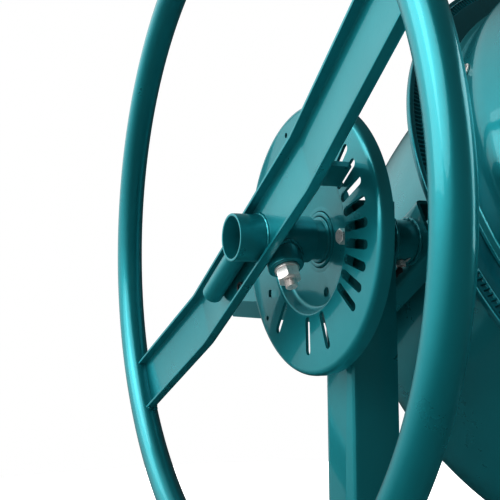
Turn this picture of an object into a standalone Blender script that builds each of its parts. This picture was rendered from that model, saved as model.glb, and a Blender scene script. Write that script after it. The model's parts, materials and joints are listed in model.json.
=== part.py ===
"""Portable electric concrete mixer on a steel stand.

The drum leans in a channel yoke. The yoke turns on the tilt axis, which runs along X between
two posts. A hand wheel with a locking lug is on the left (-X) end of that axis, and the motor,
belt and pinion are on the right (+X) end. The mouth of the drum looks forward (-Y) and up.
"""
import math

import bmesh
import bpy
from mathutils import Vector

MM = 0.001

# Places of the main axes, in millimetres
ORIGIN_X = -35.9            # shift that puts the origin at the middle of the outer box
ORIGIN_Y = 46.8
TILT_HEIGHT = 820.0         # height of the tilt axis above the ground
DRUM_TILT = 31.5            # degrees that the drum axis rises above the horizontal
GAP = 0.3                   # clearance between pieces that touch

# Hand wheel
WHEEL_X = -481.5            # plane of the rim
RIM_RADIUS = 275.0
RIM_TUBE = 12.7
RIM_STEPS = 44
SPOKE_WIDTH = 51.0
SPOKE_FLANGE = 10.0
SPOKE_SHEET = 2.5
SPOKE_TIP_AT_RIM = -484.0
SPOKE_TIP_AT_HUB = -468.0
SPOKE_END = 260.7
SPOKE_BEND_UP = 95.0
SPOKE_BEND_DOWN = 130.0
HUB_PIPE_RADIUS = 19.0
HUB_PIPE_BORE = 16.7
HUB_PIPE_OUTER_X = -484.4
HUB_PIPE_INNER_X = -416.8
BOLT_X = -443.0
BOLT_RADIUS = 5.0
LOCK_TRAVEL = 9.0           # how far the wheel slides in to lock

# Locking disc
DISC_X = -418.0             # outer face
DISC_RADIUS = 110.6
DISC_SHEET = 2.5
DISC_DISH = 13.0
DISC_RIM_DEPTH = 12.5
DISH_FLOOR_RADIUS = 57.5
DISH_TOP_RADIUS = 61.5
SLOT_INNER = 63.0
SLOT_OUTER = 94.0
SLOT_WIDTH = 7.2
SLOT_PITCH = 10.3           # degrees between two locking places
SLOT_AT_REST = 36.0         # elevation of the slot that faces the lug
SLOT_STEPS = (-1, 0, 1, 2, 3, 4, 5, 6, 7, 10, 12, 15.5)
LUG_WIDTH = 5.0
DISC_BOLT_OFFSET = 49.5
BOLT_HEAD = 9.0             # head of a disc bolt with its two washers

# Posts and stand
POST_OUTER_X = 388.0
POST_INNER_X = 345.0
POST_FRONT_Y = -20.0
POST_BACK_Y = 25.0
POST_LEAN = 22.0            # how far the foot of a post stands forward of its head
POST_SHEET = 3.0
POST_TOP = TILT_HEIGHT + 32.0
SLEEVE_RADIUS = 23.0
SLEEVE_BORE = 19.4
FOOT_LENGTH = 560.0
WHEEL_RADIUS = 115.0
WHEEL_Y = 262.0
TYRE_WIDTH = 44.0
AXLE_X = 366.5
AXLE_TUBE_RADIUS = 15.5
STRAP_SHEET = 5.0

# Yoke and its pivots
ARM_OUTER_X = 318.0
ARM_SHEET = 3.0
ARM_FLANGE = 26.0
ARM_HALF_WIDTH = 24.0
ARM_TOP = 28.0
YOKE_DEPTH = 282.0          # from the tilt axis to the back of the crossbar
ARM_BEND = -165.0           # below this the arms lean in towards the bearing
CROSSBAR_HALF = 240.0
CROSSBAR_FLANGE = 20.0
PIVOT_RADIUS = 19.0
SHAFT_END_RADIUS = 16.2

# Drum
BOWL_RADIUS = 284.0
BOWL_TOP = 44.0
BOWL_DEPTH = 273.0
BOWL_SQUARENESS = 5.0
DRUM_SHEET = 3.0
CONE_RADIUS = 288.0
CONE_SHOULDER = 100.0
MOUTH_RADIUS = 195.0
DRUM_SHAFT_RADIUS = 15.0
MOUTH_HEIGHT = 335.0
FLANGE_RADIUS = 296.0
DRUM_STEPS = 36

# Gears
CROWN_TEETH = 132
CROWN_SEGMENTS = 2
CROWN_PITCH_RADIUS = 306.0
CROWN_INNER = 287.0
CROWN_OUTER = 328.5
TEETH_INNER = 298.0
TEETH_OUTER = 315.0
CROWN_BOTTOM = 47.3
CROWN_TOP = 57.3
TOOTH_HEIGHT = 9.6
BODY_STEPS = 18             # straight steps in the plain body of one half ring
PINION_TEETH = 18
TOOTH_PITCH = 2.0 * math.pi * CROWN_PITCH_RADIUS / CROWN_TEETH
PINION_PITCH_RADIUS = TOOTH_PITCH * PINION_TEETH / (2.0 * math.pi)
TOOTH_HALF = 2.6            # half of a tooth's thickness at the pitch line

# Drive
SHAFT_RADIUS = 10.0
BELT_X = 417.0
LARGE_PULLEY = 105.0
SMALL_PULLEY = 15.0
MOTOR_Y = 25.0
MOTOR_Z = -215.0            # motor axis below the tilt axis
PLATE_X = 388.3
COVER_X = 565.0

COLOURS = {
    "teal_enamel": ((0.012, 0.170, 0.190, 1.0), 0.22, 0.0),
    "zinc": ((0.62, 0.60, 0.55, 1.0), 0.35, 1.0),
    "rubber": ((0.025, 0.025, 0.027, 1.0), 0.75, 0.0),
    "black_plastic": ((0.03, 0.03, 0.033, 1.0), 0.5, 0.0),
    "cast_iron": ((0.014, 0.150, 0.168, 1.0), 0.4, 0.2),
    "bright_steel": ((0.55, 0.55, 0.56, 1.0), 0.3, 1.0),
    "aluminium": ((0.60, 0.61, 0.63, 1.0), 0.45, 1.0),
    "green_plastic": ((0.03, 0.32, 0.08, 1.0), 0.4, 0.0),
    "red_plastic": ((0.50, 0.02, 0.02, 1.0), 0.4, 0.0),
}


def clear_scene():
    for item in list(bpy.data.objects):
        bpy.data.objects.remove(item, do_unlink=True)


def material(name):
    found = bpy.data.materials.get(name)
    if found:
        return found
    colour, roughness, metallic = COLOURS[name]
    made = bpy.data.materials.new(name)
    made.use_nodes = True
    shader = made.node_tree.nodes["Principled BSDF"]
    shader.inputs["Base Color"].default_value = colour
    shader.inputs["Roughness"].default_value = roughness
    shader.inputs["Metallic"].default_value = metallic
    return made


def empty(name, place, parent=None, turn=None):
    made = bpy.data.objects.new(name, None)
    bpy.context.scene.collection.objects.link(made)
    made.location = Vector(place) * MM
    if turn:
        made.rotation_euler = turn
    made.parent = parent
    return made


def place_object(name, bm, parent, slot):
    """Make the object from a bmesh in millimetres, with its faces pointing out."""
    bmesh.ops.remove_doubles(bm, verts=bm.verts, dist=1e-4)
    bmesh.ops.recalc_face_normals(bm, faces=bm.faces)
    bmesh.ops.scale(bm, vec=(MM, MM, MM), verts=bm.verts)
    mesh = bpy.data.meshes.new(name)
    bm.to_mesh(mesh)
    bm.free()
    mesh.materials.append(material(slot))
    mesh.shade_smooth()
    mesh.set_sharp_from_angle(angle=math.radians(32))
    made = bpy.data.objects.new(name, mesh)
    bpy.context.scene.collection.objects.link(made)
    made.parent = parent
    return made


def add_loft(bm, sections, closed=False):
    """Join a row of sections of equal point count. An open row is capped at both ends."""
    rows = [[bm.verts.new(point) for point in section] for section in sections]
    count = len(rows[0])
    pairs = list(zip(rows, rows[1:]))
    if closed:
        pairs.append((rows[-1], rows[0]))
    for first, second in pairs:
        for k in range(count):
            n = (k + 1) % count
            bm.faces.new((first[k], first[n], second[n], second[k]))
    if not closed:
        bm.faces.new(rows[0])
        bm.faces.new(list(reversed(rows[-1])))


def loft(name, sections, parent, slot, closed=False):
    bm = bmesh.new()
    add_loft(bm, sections, closed)
    return place_object(name, bm, parent, slot)


def on_axis(axis, along, first, second):
    """A point from its distance along an axis and its two distances across it."""
    if axis == "X":
        return Vector((along, first, second))
    if axis == "Y":
        return Vector((second, along, first))
    return Vector((first, second, along))


def add_turned(bm, profile, axis, centre=(0, 0, 0), steps=32):
    """Turn a closed profile of (along, radius) points about an axis through centre."""
    sections = []
    for k in range(steps):
        angle = 2.0 * math.pi * k / steps
        cos, sin = math.cos(angle), math.sin(angle)
        sections.append([on_axis(axis, a, r * cos, r * sin) + Vector(centre) for a, r in profile])
    add_loft(bm, sections, closed=True)


def turned(name, profile, axis, parent, slot, centre=(0, 0, 0), steps=32):
    bm = bmesh.new()
    add_turned(bm, profile, axis, centre, steps)
    return place_object(name, bm, parent, slot)


def add_rod(bm, axis, start, end, radius, centre=(0, 0, 0), steps=24):
    """A solid round bar."""
    sections = []
    for along in (start, end):
        ring = []
        for k in range(steps):
            angle = 2.0 * math.pi * (k + 0.5) / steps
            point = on_axis(axis, along, radius * math.cos(angle), radius * math.sin(angle))
            ring.append(point + Vector(centre))
        sections.append(ring)
    add_loft(bm, sections)


def rod(name, axis, start, end, radius, parent, slot, centre=(0, 0, 0), steps=24):
    bm = bmesh.new()
    add_rod(bm, axis, start, end, radius, centre, steps)
    return place_object(name, bm, parent, slot)


def tube(name, axis, start, end, radius, bore, parent, slot, centre=(0, 0, 0), steps=32):
    profile = [(start, bore), (start, radius), (end, radius), (end, bore)]
    return turned(name, profile, axis, parent, slot, centre, steps)


def add_block(bm, low, high):
    sections = []
    for z in (low[2], high[2]):
        ring = [(low[0], low[1], z), (high[0], low[1], z), (high[0], high[1], z), (low[0], high[1], z)]
        sections.append([Vector(point) for point in ring])
    add_loft(bm, sections)


def block(name, low, high, parent, slot):
    bm = bmesh.new()
    add_block(bm, low, high)
    return place_object(name, bm, parent, slot)


def hollow_beam(name, axis, low, high, parent):
    """Rectangular steel tube, open at both ends of its long axis."""
    beam = block(name, low, high, parent, "teal_enamel")
    inset = [POST_SHEET, POST_SHEET, POST_SHEET]
    inset["XYZ".index(axis)] = -10.0

    def inside(bm):
        add_block(bm, [a + d for a, d in zip(low, inset)], [b - d for b, d in zip(high, inset)])

    cut(beam, [inside])
    return beam


def hexagon(axis, along, across_flats, centre):
    radius = across_flats / math.sqrt(3.0)
    ring = []
    for k in range(6):
        angle = math.radians(60 * k)
        point = on_axis(axis, along, radius * math.cos(angle), radius * math.sin(angle))
        ring.append(point + Vector(centre))
    return ring


def cut(target, cutters):
    """Subtract closed bodies, built in the target's own frame, from an object."""
    for index, make in enumerate(cutters):
        bm = bmesh.new()
        make(bm)
        cutter = place_object(f"{target.name}_cutter_{index}", bm, target.parent, "zinc")
        cutter.hide_render = True
        cutter.display_type = "WIRE"
        hole = target.modifiers.new(f"hole_{index}", "BOOLEAN")
        hole.operation = "DIFFERENCE"
        hole.solver = "EXACT"
        hole.object = cutter


def channel_section(width, flange, sheet):
    """U section as (across, height) points: the web is at height 0, flanges point to +height."""
    half = width / 2.0
    return [(-half, 0), (half, 0), (half, flange), (half - sheet, flange),
            (half - sheet, sheet), (-half + sheet, sheet), (-half + sheet, flange), (-half, flange)]


def elevation_point(angle, radius):
    """(Y, Z) of a point at an elevation above the horizontal on the front side."""
    return -radius * math.cos(math.radians(angle)), radius * math.sin(math.radians(angle))


# ---------------------------------------------------------------- stand

def post_y(height, edge):
    """A post leans: its foot stands forward of its head."""
    return edge - POST_LEAN * (1.0 - height / POST_TOP)


def make_post(name, side, low, parent):
    """Folded channel post. Its web is on the outside and it is open towards the drum."""
    sections = []
    for height in (low, POST_TOP):
        middle = (POST_FRONT_Y + POST_BACK_Y) / 2.0
        width = POST_BACK_Y - POST_FRONT_Y
        shape = channel_section(width, POST_OUTER_X - POST_INNER_X, POST_SHEET)
        centre = post_y(height, middle)
        sections.append([Vector((side * (POST_OUTER_X - h), centre + a, height)) for a, h in shape])
    post = loft(name, sections, parent, "teal_enamel")

    def sleeve_hole(bm):
        start = side * (POST_INNER_X - 10)
        end = side * (POST_OUTER_X + 10)
        add_rod(bm, "X", min(start, end), max(start, end), SLEEVE_RADIUS + GAP, (0, 0, TILT_HEIGHT), 32)

    cut(post, [sleeve_hole])
    return post


def make_brace(name, top, foot_middle, reach, foot, parent, half=11.0):
    """One flat strap bent into an A. Its top crosses the open side of the post.

    top and foot are each an (X, Z) pair.
    """
    top_x, top_z = top
    foot_x, foot_z = foot
    post_middle = post_y(top_z, (POST_FRONT_Y + POST_BACK_Y) / 2.0)
    top_half = (POST_BACK_Y - POST_FRONT_Y) / 2.0 + 3.0
    route = [(foot_middle - reach, foot_z), (post_middle - top_half, top_z),
             (post_middle + top_half, top_z), (foot_middle + reach, foot_z)]
    places = (foot_x, top_x, top_x, foot_x)
    sections = []
    for k, (y, z) in enumerate(route):
        before = Vector(route[max(k - 1, 0)])
        after = Vector(route[min(k + 1, 3)])
        across = (after - before).normalized().orthogonal() * half
        ring = []
        for side, depth in ((-1, -1), (1, -1), (1, 1), (-1, 1)):
            x = places[k] + depth * STRAP_SHEET / 2.0
            ring.append(Vector((x, y + side * across.x, z + side * across.y)))
        sections.append(ring)
    return loft(name, sections, parent, "teal_enamel")


def make_stand(frame):
    left = -POST_OUTER_X
    make_post("left_post", -1, 53.0, frame)
    make_post("right_post", 1, 131.0, frame)

    foot_y = post_y(53.0, (POST_FRONT_Y + POST_BACK_Y) / 2.0)
    half = FOOT_LENGTH / 2.0
    low = (left + 1, foot_y - half, 12.6)
    high = (-POST_INNER_X - 1, foot_y + half, 52.6)
    hollow_beam("left_foot_beam", "Y", low, high, frame)
    for name, end in (("front_foot_pad", -1), ("rear_foot_pad", 1)):
        middle = foot_y + end * (half - 32)
        block(name, (left - 2, middle - 26, 0), (-POST_INNER_X + 2, middle + 26, 12.3), frame, "rubber")

    beam = POST_INNER_X - GAP
    middle = post_y(150.0, (POST_FRONT_Y + POST_BACK_Y) / 2.0)
    hollow_beam("base_crossbeam", "X", (-beam, middle - 21.5, 134), (beam, middle + 21.5, 168), frame)

    strap_x = POST_INNER_X - GAP - STRAP_SHEET / 2.0
    make_brace("left_brace", (-strap_x, 330.0), foot_y, 225.0, (-strap_x, 34.0), frame)
    axle_side = AXLE_X - AXLE_TUBE_RADIUS - GAP - STRAP_SHEET / 2.0
    make_brace("right_brace", (strap_x, 400.0), 0.0, 200.0, (axle_side, 116.0), frame)

    # Lift handle: a folded bar from the left post to the rear
    handle = [(left, -24), (left, -53), (left + 9, -70), (left + 43, -70), (left + 43, -66.5),
              (left + 10.5, -66.5), (left + 3, -52), (left + 3, -27), (left + 43, -27), (left + 43, -24)]
    sections = []
    for y in (POST_BACK_Y + 0.4, 235.0):
        sections.append([Vector((x, y, TILT_HEIGHT + z)) for x, z in handle])
    loft("lift_handle", sections, frame, "teal_enamel")


def make_wheels(frame):
    axle_z = WHEEL_RADIUS
    tube("axle_tube", "Y", -232, 232, AXLE_TUBE_RADIUS, 9.3, frame, "teal_enamel", (AXLE_X, 0, axle_z), 24)
    rod("wheel_axle", "Y", -298, 298, 9.0, frame, "zinc", (AXLE_X, 0, axle_z), 20)
    for name, side in (("front", -1), ("rear", 1)):
        hub = empty(f"{name}_wheel_axis", (AXLE_X, side * WHEEL_Y, axle_z), frame)
        half = TYRE_WIDTH / 2.0
        rim = [(-25, 9.6), (-25, 19), (-3.5, 19), (-3, 68), (-16, 72.5), (-16, 75.7),
               (16, 75.7), (16, 72.5), (3, 68), (3.5, 19), (25, 19), (25, 9.6)]
        turned(f"{name}_wheel_rim", rim, "Y", hub, "bright_steel", steps=28)
        tyre = [(-16, 76), (-half, 84), (-half, 104), (-12, WHEEL_RADIUS),
                (12, WHEEL_RADIUS), (half, 104), (half, 84), (16, 76)]
        turned(f"{name}_wheel_tyre", tyre, "Y", hub, "rubber", steps=28)


# ---------------------------------------------------------------- locking disc

def make_locking_disc(frame):
    back = DISC_SHEET
    floor = DISC_DISH
    rim = DISC_RADIUS
    face = [(floor, 23.6), (floor, DISH_FLOOR_RADIUS), (0, DISH_TOP_RADIUS), (0, rim - 3.0),
            (3.0, rim), (DISC_RIM_DEPTH, rim), (DISC_RIM_DEPTH, rim - back),
            (4.0, rim - back), (back, rim - 4.0), (back, DISH_TOP_RADIUS + 1.6),
            (floor + back, DISH_FLOOR_RADIUS + 1.6), (floor + back, 23.6)]
    profile = [(DISC_X + a, r) for a, r in face]
    centre = (0, 0, TILT_HEIGHT)
    disc = turned("locking_disc", profile, "X", frame, "teal_enamel", centre, 40)

    def slots_and_holes(bm):
        for step in SLOT_STEPS:
            angle = SLOT_AT_REST - step * SLOT_PITCH
            add_slot(bm, angle, SLOT_INNER, SLOT_OUTER, SLOT_WIDTH)
        for angle, radius, hole in ((111.0, 97.0, 2.2), (223.0, 97.0, 2.2), (-72.0, 45.0, 4.0)):
            y, z = elevation_point(angle, radius)
            add_rod(bm, "X", DISC_X - 5, DISC_X + 20, hole, (0, y, TILT_HEIGHT + z), 12)
        y, z = elevation_point(217.0, 74.0)
        z += TILT_HEIGHT
        add_block(bm, (DISC_X - 5, y - 9.5, z - 3.2), (DISC_X + 8, y + 9.5, z + 3.2))
        for side in (-1, 1):
            add_rod(bm, "X", DISC_X - 5, DISC_X + 20, 4.4, (0, side * DISC_BOLT_OFFSET, TILT_HEIGHT), 16)

    cut(disc, [slots_and_holes])

    # Folded bracket that carries the disc on the post
    shape = channel_section(54.0, 13.9, 3.0)
    sections = []
    for y in (-64.0, 64.0):
        sections.append([Vector((DISC_X + DISC_DISH + DISC_SHEET + GAP + h, y, TILT_HEIGHT + a))
                         for a, h in shape])
    bracket = loft("disc_bracket", sections, frame, "teal_enamel")

    def bracket_holes(bm):
        add_rod(bm, "X", -410, -390, SLEEVE_RADIUS + GAP, centre, 32)
        for side in (-1, 1):
            add_rod(bm, "X", -410, -390, 4.4, (0, side * DISC_BOLT_OFFSET, TILT_HEIGHT), 16)

    cut(bracket, [bracket_holes])

    for name, side in (("front_disc_bolt", -1), ("rear_disc_bolt", 1)):
        spot = (0, side * DISC_BOLT_OFFSET, TILT_HEIGHT)
        floor_x = DISC_X + DISC_DISH - GAP
        rings = [hexagon("X", floor_x - BOLT_HEAD, 13.0, spot), hexagon("X", floor_x, 13.0, spot)]
        for along in (floor_x, -394.0):
            rings.append([Vector((along, y, z)) for y, z in
                          ((spot[1] + 4.0 * math.cos(math.radians(60 * k)),
                            spot[2] + 4.0 * math.sin(math.radians(60 * k))) for k in range(6))])
        loft(name, rings, frame, "zinc")
    tube("left_bearing_sleeve", "X", -406.0, -347.0, SLEEVE_RADIUS, SLEEVE_BORE, frame, "teal_enamel",
         centre, 32)


def add_slot(bm, angle, inner, outer, width):
    """A radial slot with pointed-round ends, as a cutter through the disc's face."""
    y_dir, z_dir = elevation_point(angle, 1.0)
    along = Vector((0, y_dir, z_dir))
    across = Vector((0, -z_dir, y_dir))
    half = width / 2.0
    outline = ((inner + 0.8, -half * 0.6), (inner + half, -half), (outer - half, -half),
               (outer - 0.8, -half * 0.6), (outer - 0.8, half * 0.6), (outer - half, half),
               (inner + half, half), (inner + 0.8, half * 0.6))
    rings = []
    for x in (DISC_X - 4, DISC_X + 8):
        rings.append([Vector((x, 0, TILT_HEIGHT)) + along * r + across * w for r, w in outline])
    add_loft(bm, rings)


# ---------------------------------------------------------------- hand wheel

def make_handwheel(wheel):
    """Everything here is in the tilted frame: Z runs along the spoke and the drum axis."""
    bm = bmesh.new()
    sections = []
    for k in range(RIM_STEPS):
        angle = 2.0 * math.pi * k / RIM_STEPS
        ring = []
        for j in range(8):
            turn = 2.0 * math.pi * (j + 0.5) / 8
            radius = RIM_RADIUS + RIM_TUBE * math.cos(turn)
            ring.append(Vector((WHEEL_X + RIM_TUBE * math.sin(turn),
                                radius * math.sin(angle), radius * math.cos(angle))))
        sections.append(ring)
    add_loft(bm, sections, closed=True)
    place_object("handwheel_rim", bm, wheel, "teal_enamel")

    shape = channel_section(SPOKE_WIDTH, SPOKE_FLANGE, SPOKE_SHEET)
    stations = ((-SPOKE_END, SPOKE_TIP_AT_RIM), (-SPOKE_BEND_DOWN, SPOKE_TIP_AT_HUB),
                (SPOKE_BEND_UP, SPOKE_TIP_AT_HUB), (SPOKE_END, SPOKE_TIP_AT_RIM))
    sections = []
    for along, tip in stations:
        sections.append([Vector((tip + SPOKE_FLANGE - h, a, along)) for a, h in shape])
    spoke = loft("handwheel_spoke", sections, wheel, "teal_enamel")
    web_x = SPOKE_TIP_AT_HUB + SPOKE_FLANGE

    def pipe_hole(bm):
        add_rod(bm, "X", web_x - 20, web_x + 20, HUB_PIPE_RADIUS + GAP, steps=32)

    cut(spoke, [pipe_hole])

    pipe = tube("hub_pipe", "X", HUB_PIPE_OUTER_X, HUB_PIPE_INNER_X, HUB_PIPE_RADIUS, HUB_PIPE_BORE,
                wheel, "teal_enamel", steps=36)

    def bolt_hole(bm):
        add_rod(bm, "Y", -50, 50, BOLT_RADIUS + 0.5, (BOLT_X, 0, 0), 20)

    cut(pipe, [bolt_hole])

    saddle = rod("hub_saddle", "Y", -28.0, -6.0, 14.4, wheel, "teal_enamel", (BOLT_X, 0, 0), 28)

    def saddle_cut(bm):
        add_rod(bm, "X", BOLT_X - 40, BOLT_X + 40, HUB_PIPE_RADIUS + GAP, steps=36)

    def saddle_bore(bm):
        add_rod(bm, "Y", -50, 10, BOLT_RADIUS + 0.5, (BOLT_X, 0, 0), 20)

    cut(saddle, [saddle_cut, saddle_bore])

    bm = bmesh.new()
    rings = []
    for along, radius in ((-46.0, 4.0), (-45.0, BOLT_RADIUS), (19.4, BOLT_RADIUS), (19.4, 10.0),
                          (31.0, 10.0), (33.6, 7.5), (35.0, 3.0)):
        ring = []
        for k in range(20):
            angle = 2.0 * math.pi * k / 20
            ring.append(Vector((BOLT_X + radius * math.cos(angle), along, radius * math.sin(angle))))
        rings.append(ring)
    add_loft(bm, rings)
    place_object("hub_bolt", bm, wheel, "zinc")

    spot = (BOLT_X, 0, 0)
    sections = [hexagon("Y", -39.6, 17.0, spot), hexagon("Y", -30.4, 17.0, spot),
                hexagon("Y", -30.4, 19.5, spot), hexagon("Y", -28.3, 19.5, spot)]
    nut = loft("hub_nut", sections, wheel, "zinc")

    def nut_bore(bm):
        add_rod(bm, "Y", -50, -20, BOLT_RADIUS + GAP, (BOLT_X, 0, 0), 20)

    cut(nut, [nut_bore])

    rod("spoke_stub", "Z", -86.0, -(HUB_PIPE_RADIUS + 0.5), 9.0, wheel, "teal_enamel",
        (web_x - SPOKE_SHEET - 9.0 - GAP, 0.0, 0), 20)

    offset = math.radians(SLOT_AT_REST - DRUM_TILT)
    along = Vector((0, math.sin(offset), math.cos(offset)))
    across = Vector((0, math.cos(offset), -math.sin(offset)))
    half = LUG_WIDTH / 2.0
    rings = []
    for x in (web_x + GAP, DISC_X - 0.8):
        base = Vector((x, 0, 0))
        rings.append([base + along * 67 - across * half, base + along * 89 - across * half,
                      base + along * 89 + across * half, base + along * 67 + across * half])
    loft("lock_lug", rings, wheel, "teal_enamel")


# ---------------------------------------------------------------- yoke

def make_yoke(yoke):
    """In the tilted frame. Both arms run from the tilt axis to the crossbar behind the drum."""
    shape = channel_section(2 * ARM_HALF_WIDTH, ARM_FLANGE, ARM_SHEET)
    for name, side in (("left_yoke_arm", -1), ("right_yoke_arm", 1)):
        stations = ((CROSSBAR_FLANGE - YOKE_DEPTH + GAP, CROSSBAR_HALF), (ARM_BEND, ARM_OUTER_X),
                    (ARM_TOP, ARM_OUTER_X))
        sections = []
        for along, outer in stations:
            sections.append([Vector((side * (outer - h), a, along)) for a, h in shape])
        arm = loft(name, sections, yoke, "teal_enamel")

        def tube_hole(bm, side=side):
            low, high = sorted((side * (ARM_OUTER_X - 8), side * (ARM_OUTER_X + 8)))
            add_rod(bm, "X", low, high, SHAFT_RADIUS + 3.0, steps=24)

        def pinion_room(bm):
            low = ARM_OUTER_X - ARM_FLANGE - 5
            add_block(bm, (low, -40, -54), (ARM_OUTER_X - ARM_SHEET - 0.001, 40, 60))

        cut(arm, [tube_hole, pinion_room] if side > 0 else [tube_hole])

    section = channel_section(2 * ARM_HALF_WIDTH, CROSSBAR_FLANGE, ARM_SHEET)
    web_z = CROSSBAR_FLANGE - YOKE_DEPTH
    sections = []
    for x in (-CROSSBAR_HALF, CROSSBAR_HALF):
        sections.append([Vector((x, a, web_z - h)) for a, h in section])
    crossbar = loft("yoke_crossbar", sections, yoke, "teal_enamel")

    def shaft_hole(bm):
        add_rod(bm, "Z", web_z - 10, web_z + 10, DRUM_SHAFT_RADIUS + 2, steps=24)

    cut(crossbar, [shaft_hole])

    tube("bearing_housing", "Z", web_z + GAP, -240.0, 29.0, 24.3, yoke, "teal_enamel", steps=28)
    tube("drum_bearing", "Z", web_z + 1.0, -243.0, 24.0, DRUM_SHAFT_RADIUS + GAP, yoke, "bright_steel",
         steps=28)

    left_end = BOLT_X - 11.0
    profile = [(left_end, 11.0), (left_end, SHAFT_END_RADIUS), (-407.0, SHAFT_END_RADIUS),
               (-407.0, PIVOT_RADIUS), (-ARM_OUTER_X - GAP, PIVOT_RADIUS), (-ARM_OUTER_X - GAP, 11.0)]
    left = turned("left_pivot_tube", profile, "X", yoke, "teal_enamel", steps=32)

    def travel_slot(bm):
        add_block(bm, (BOLT_X - BOLT_RADIUS - 0.5, -40, -BOLT_RADIUS - 0.5),
                  (BOLT_X + LOCK_TRAVEL + BOLT_RADIUS + 0.8, 40, BOLT_RADIUS + 0.5))

    cut(left, [travel_slot])
    tube("right_pivot_tube", "X", ARM_OUTER_X + GAP, 401.0, PIVOT_RADIUS, 13.0, yoke, "teal_enamel")

    tube("shaft_bush", "X", ARM_OUTER_X + 3, 398.0, 12.7, SHAFT_RADIUS + GAP, yoke, "bright_steel",
         steps=24)


# ---------------------------------------------------------------- drum

def bowl_profile(thickness):
    """Outer wall of the lower drum from its rim down to the flat bottom, as (height, radius)."""
    points = [(BOWL_TOP, BOWL_RADIUS - thickness)]
    depth = BOWL_DEPTH - thickness
    for step in range(1, 7):
        reach = math.sin(step / 7.0 * math.pi / 2.0) ** 0.45
        radius = (BOWL_RADIUS - thickness) * (1.0 - reach ** BOWL_SQUARENESS) ** (1.0 / BOWL_SQUARENESS)
        points.append((BOWL_TOP - depth * reach, radius))
    return points


def make_drum(drum):
    bottom = BOWL_TOP - BOWL_DEPTH
    outer = bowl_profile(0.0)
    inner = bowl_profile(DRUM_SHEET)
    last = outer[-1][1] * 0.55
    profile = [(BOWL_TOP, FLANGE_RADIUS), (BOWL_TOP, BOWL_RADIUS)] + outer[1:]
    profile += [(bottom, last), (bottom, 16.0), (bottom + DRUM_SHEET, 16.0), (bottom + DRUM_SHEET, last)]
    profile += list(reversed(inner[1:]))
    profile += [(BOWL_TOP + 3.0, inner[0][1]), (BOWL_TOP + 3.0, FLANGE_RADIUS)]
    turned("drum_bowl", profile, "Z", drum, "teal_enamel", steps=DRUM_STEPS)

    low = CROWN_TOP + GAP
    wall = DRUM_SHEET
    cone = [(low, FLANGE_RADIUS - 2), (low, CONE_RADIUS - wall),
            (CONE_SHOULDER, CONE_RADIUS - wall - 0.5), (MOUTH_HEIGHT - 6, MOUTH_RADIUS - wall),
            (MOUTH_HEIGHT - 2, MOUTH_RADIUS - wall + 0.5), (MOUTH_HEIGHT + 3, MOUTH_RADIUS + 3),
            (MOUTH_HEIGHT, MOUTH_RADIUS + 7), (MOUTH_HEIGHT - 6, MOUTH_RADIUS + 7),
            (MOUTH_HEIGHT - 9, MOUTH_RADIUS + 2), (CONE_SHOULDER, CONE_RADIUS),
            (low + 9, CONE_RADIUS), (low + 4, FLANGE_RADIUS - 2)]
    cone_object = turned("drum_cone", cone, "Z", drum, "teal_enamel", steps=DRUM_STEPS)
    cut(cone_object, [blade_bolt_holes])

    for index in range(CROWN_SEGMENTS):
        make_crown_segment(drum, index)
    make_blades(drum)

    shaft = DRUM_SHAFT_RADIUS
    profile = [(-282.0, 4.0), (-282.0, shaft - 1), (-280.0, shaft), (bottom - 8.0, shaft),
               (bottom - 8.0, 64.0), (bottom - GAP, 64.0), (bottom - GAP, shaft),
               (bottom + 12.0, shaft), (bottom + 12.0, 4.0)]
    turned("drum_shaft", profile, "Z", drum, "bright_steel", steps=24)
    nut = loft("drum_nut", [hexagon("Z", -276.0, 33.0, (0, 0, 0)), hexagon("Z", -265.5, 33.0, (0, 0, 0))],
               drum, "zinc")

    def nut_bore(bm):
        add_rod(bm, "Z", -290, -250, DRUM_SHAFT_RADIUS + GAP, steps=24)

    cut(nut, [nut_bore])


BLADE_AZIMUTHS = (26.6, 206.6)
BLADE_BOLT_HEIGHT = 82.0


def blade_bolt_holes(bm):
    for azimuth in BLADE_AZIMUTHS:
        add_radial_rod(bm, azimuth, BLADE_BOLT_HEIGHT, CONE_RADIUS - 12, CONE_RADIUS + 8, 4.6)


def radial_frame(azimuth):
    """Outward and sideways directions at an azimuth round the drum axis."""
    turn = math.radians(azimuth)
    outward = Vector((-math.cos(turn), math.sin(turn), 0))
    sideways = Vector((-math.sin(turn), -math.cos(turn), 0))
    return outward, sideways


def radial_ring(azimuth, height, reach, radius, sides):
    outward, sideways = radial_frame(azimuth)
    ring = []
    for k in range(sides):
        angle = 2.0 * math.pi * k / sides
        ring.append(outward * reach + sideways * (radius * math.cos(angle))
                    + Vector((0, 0, height + radius * math.sin(angle))))
    return ring


def add_radial_rod(bm, azimuth, height, near, far, radius, sides=12):
    add_loft(bm, [radial_ring(azimuth, height, near, radius, sides),
                  radial_ring(azimuth, height, far, radius, sides)])


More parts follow.
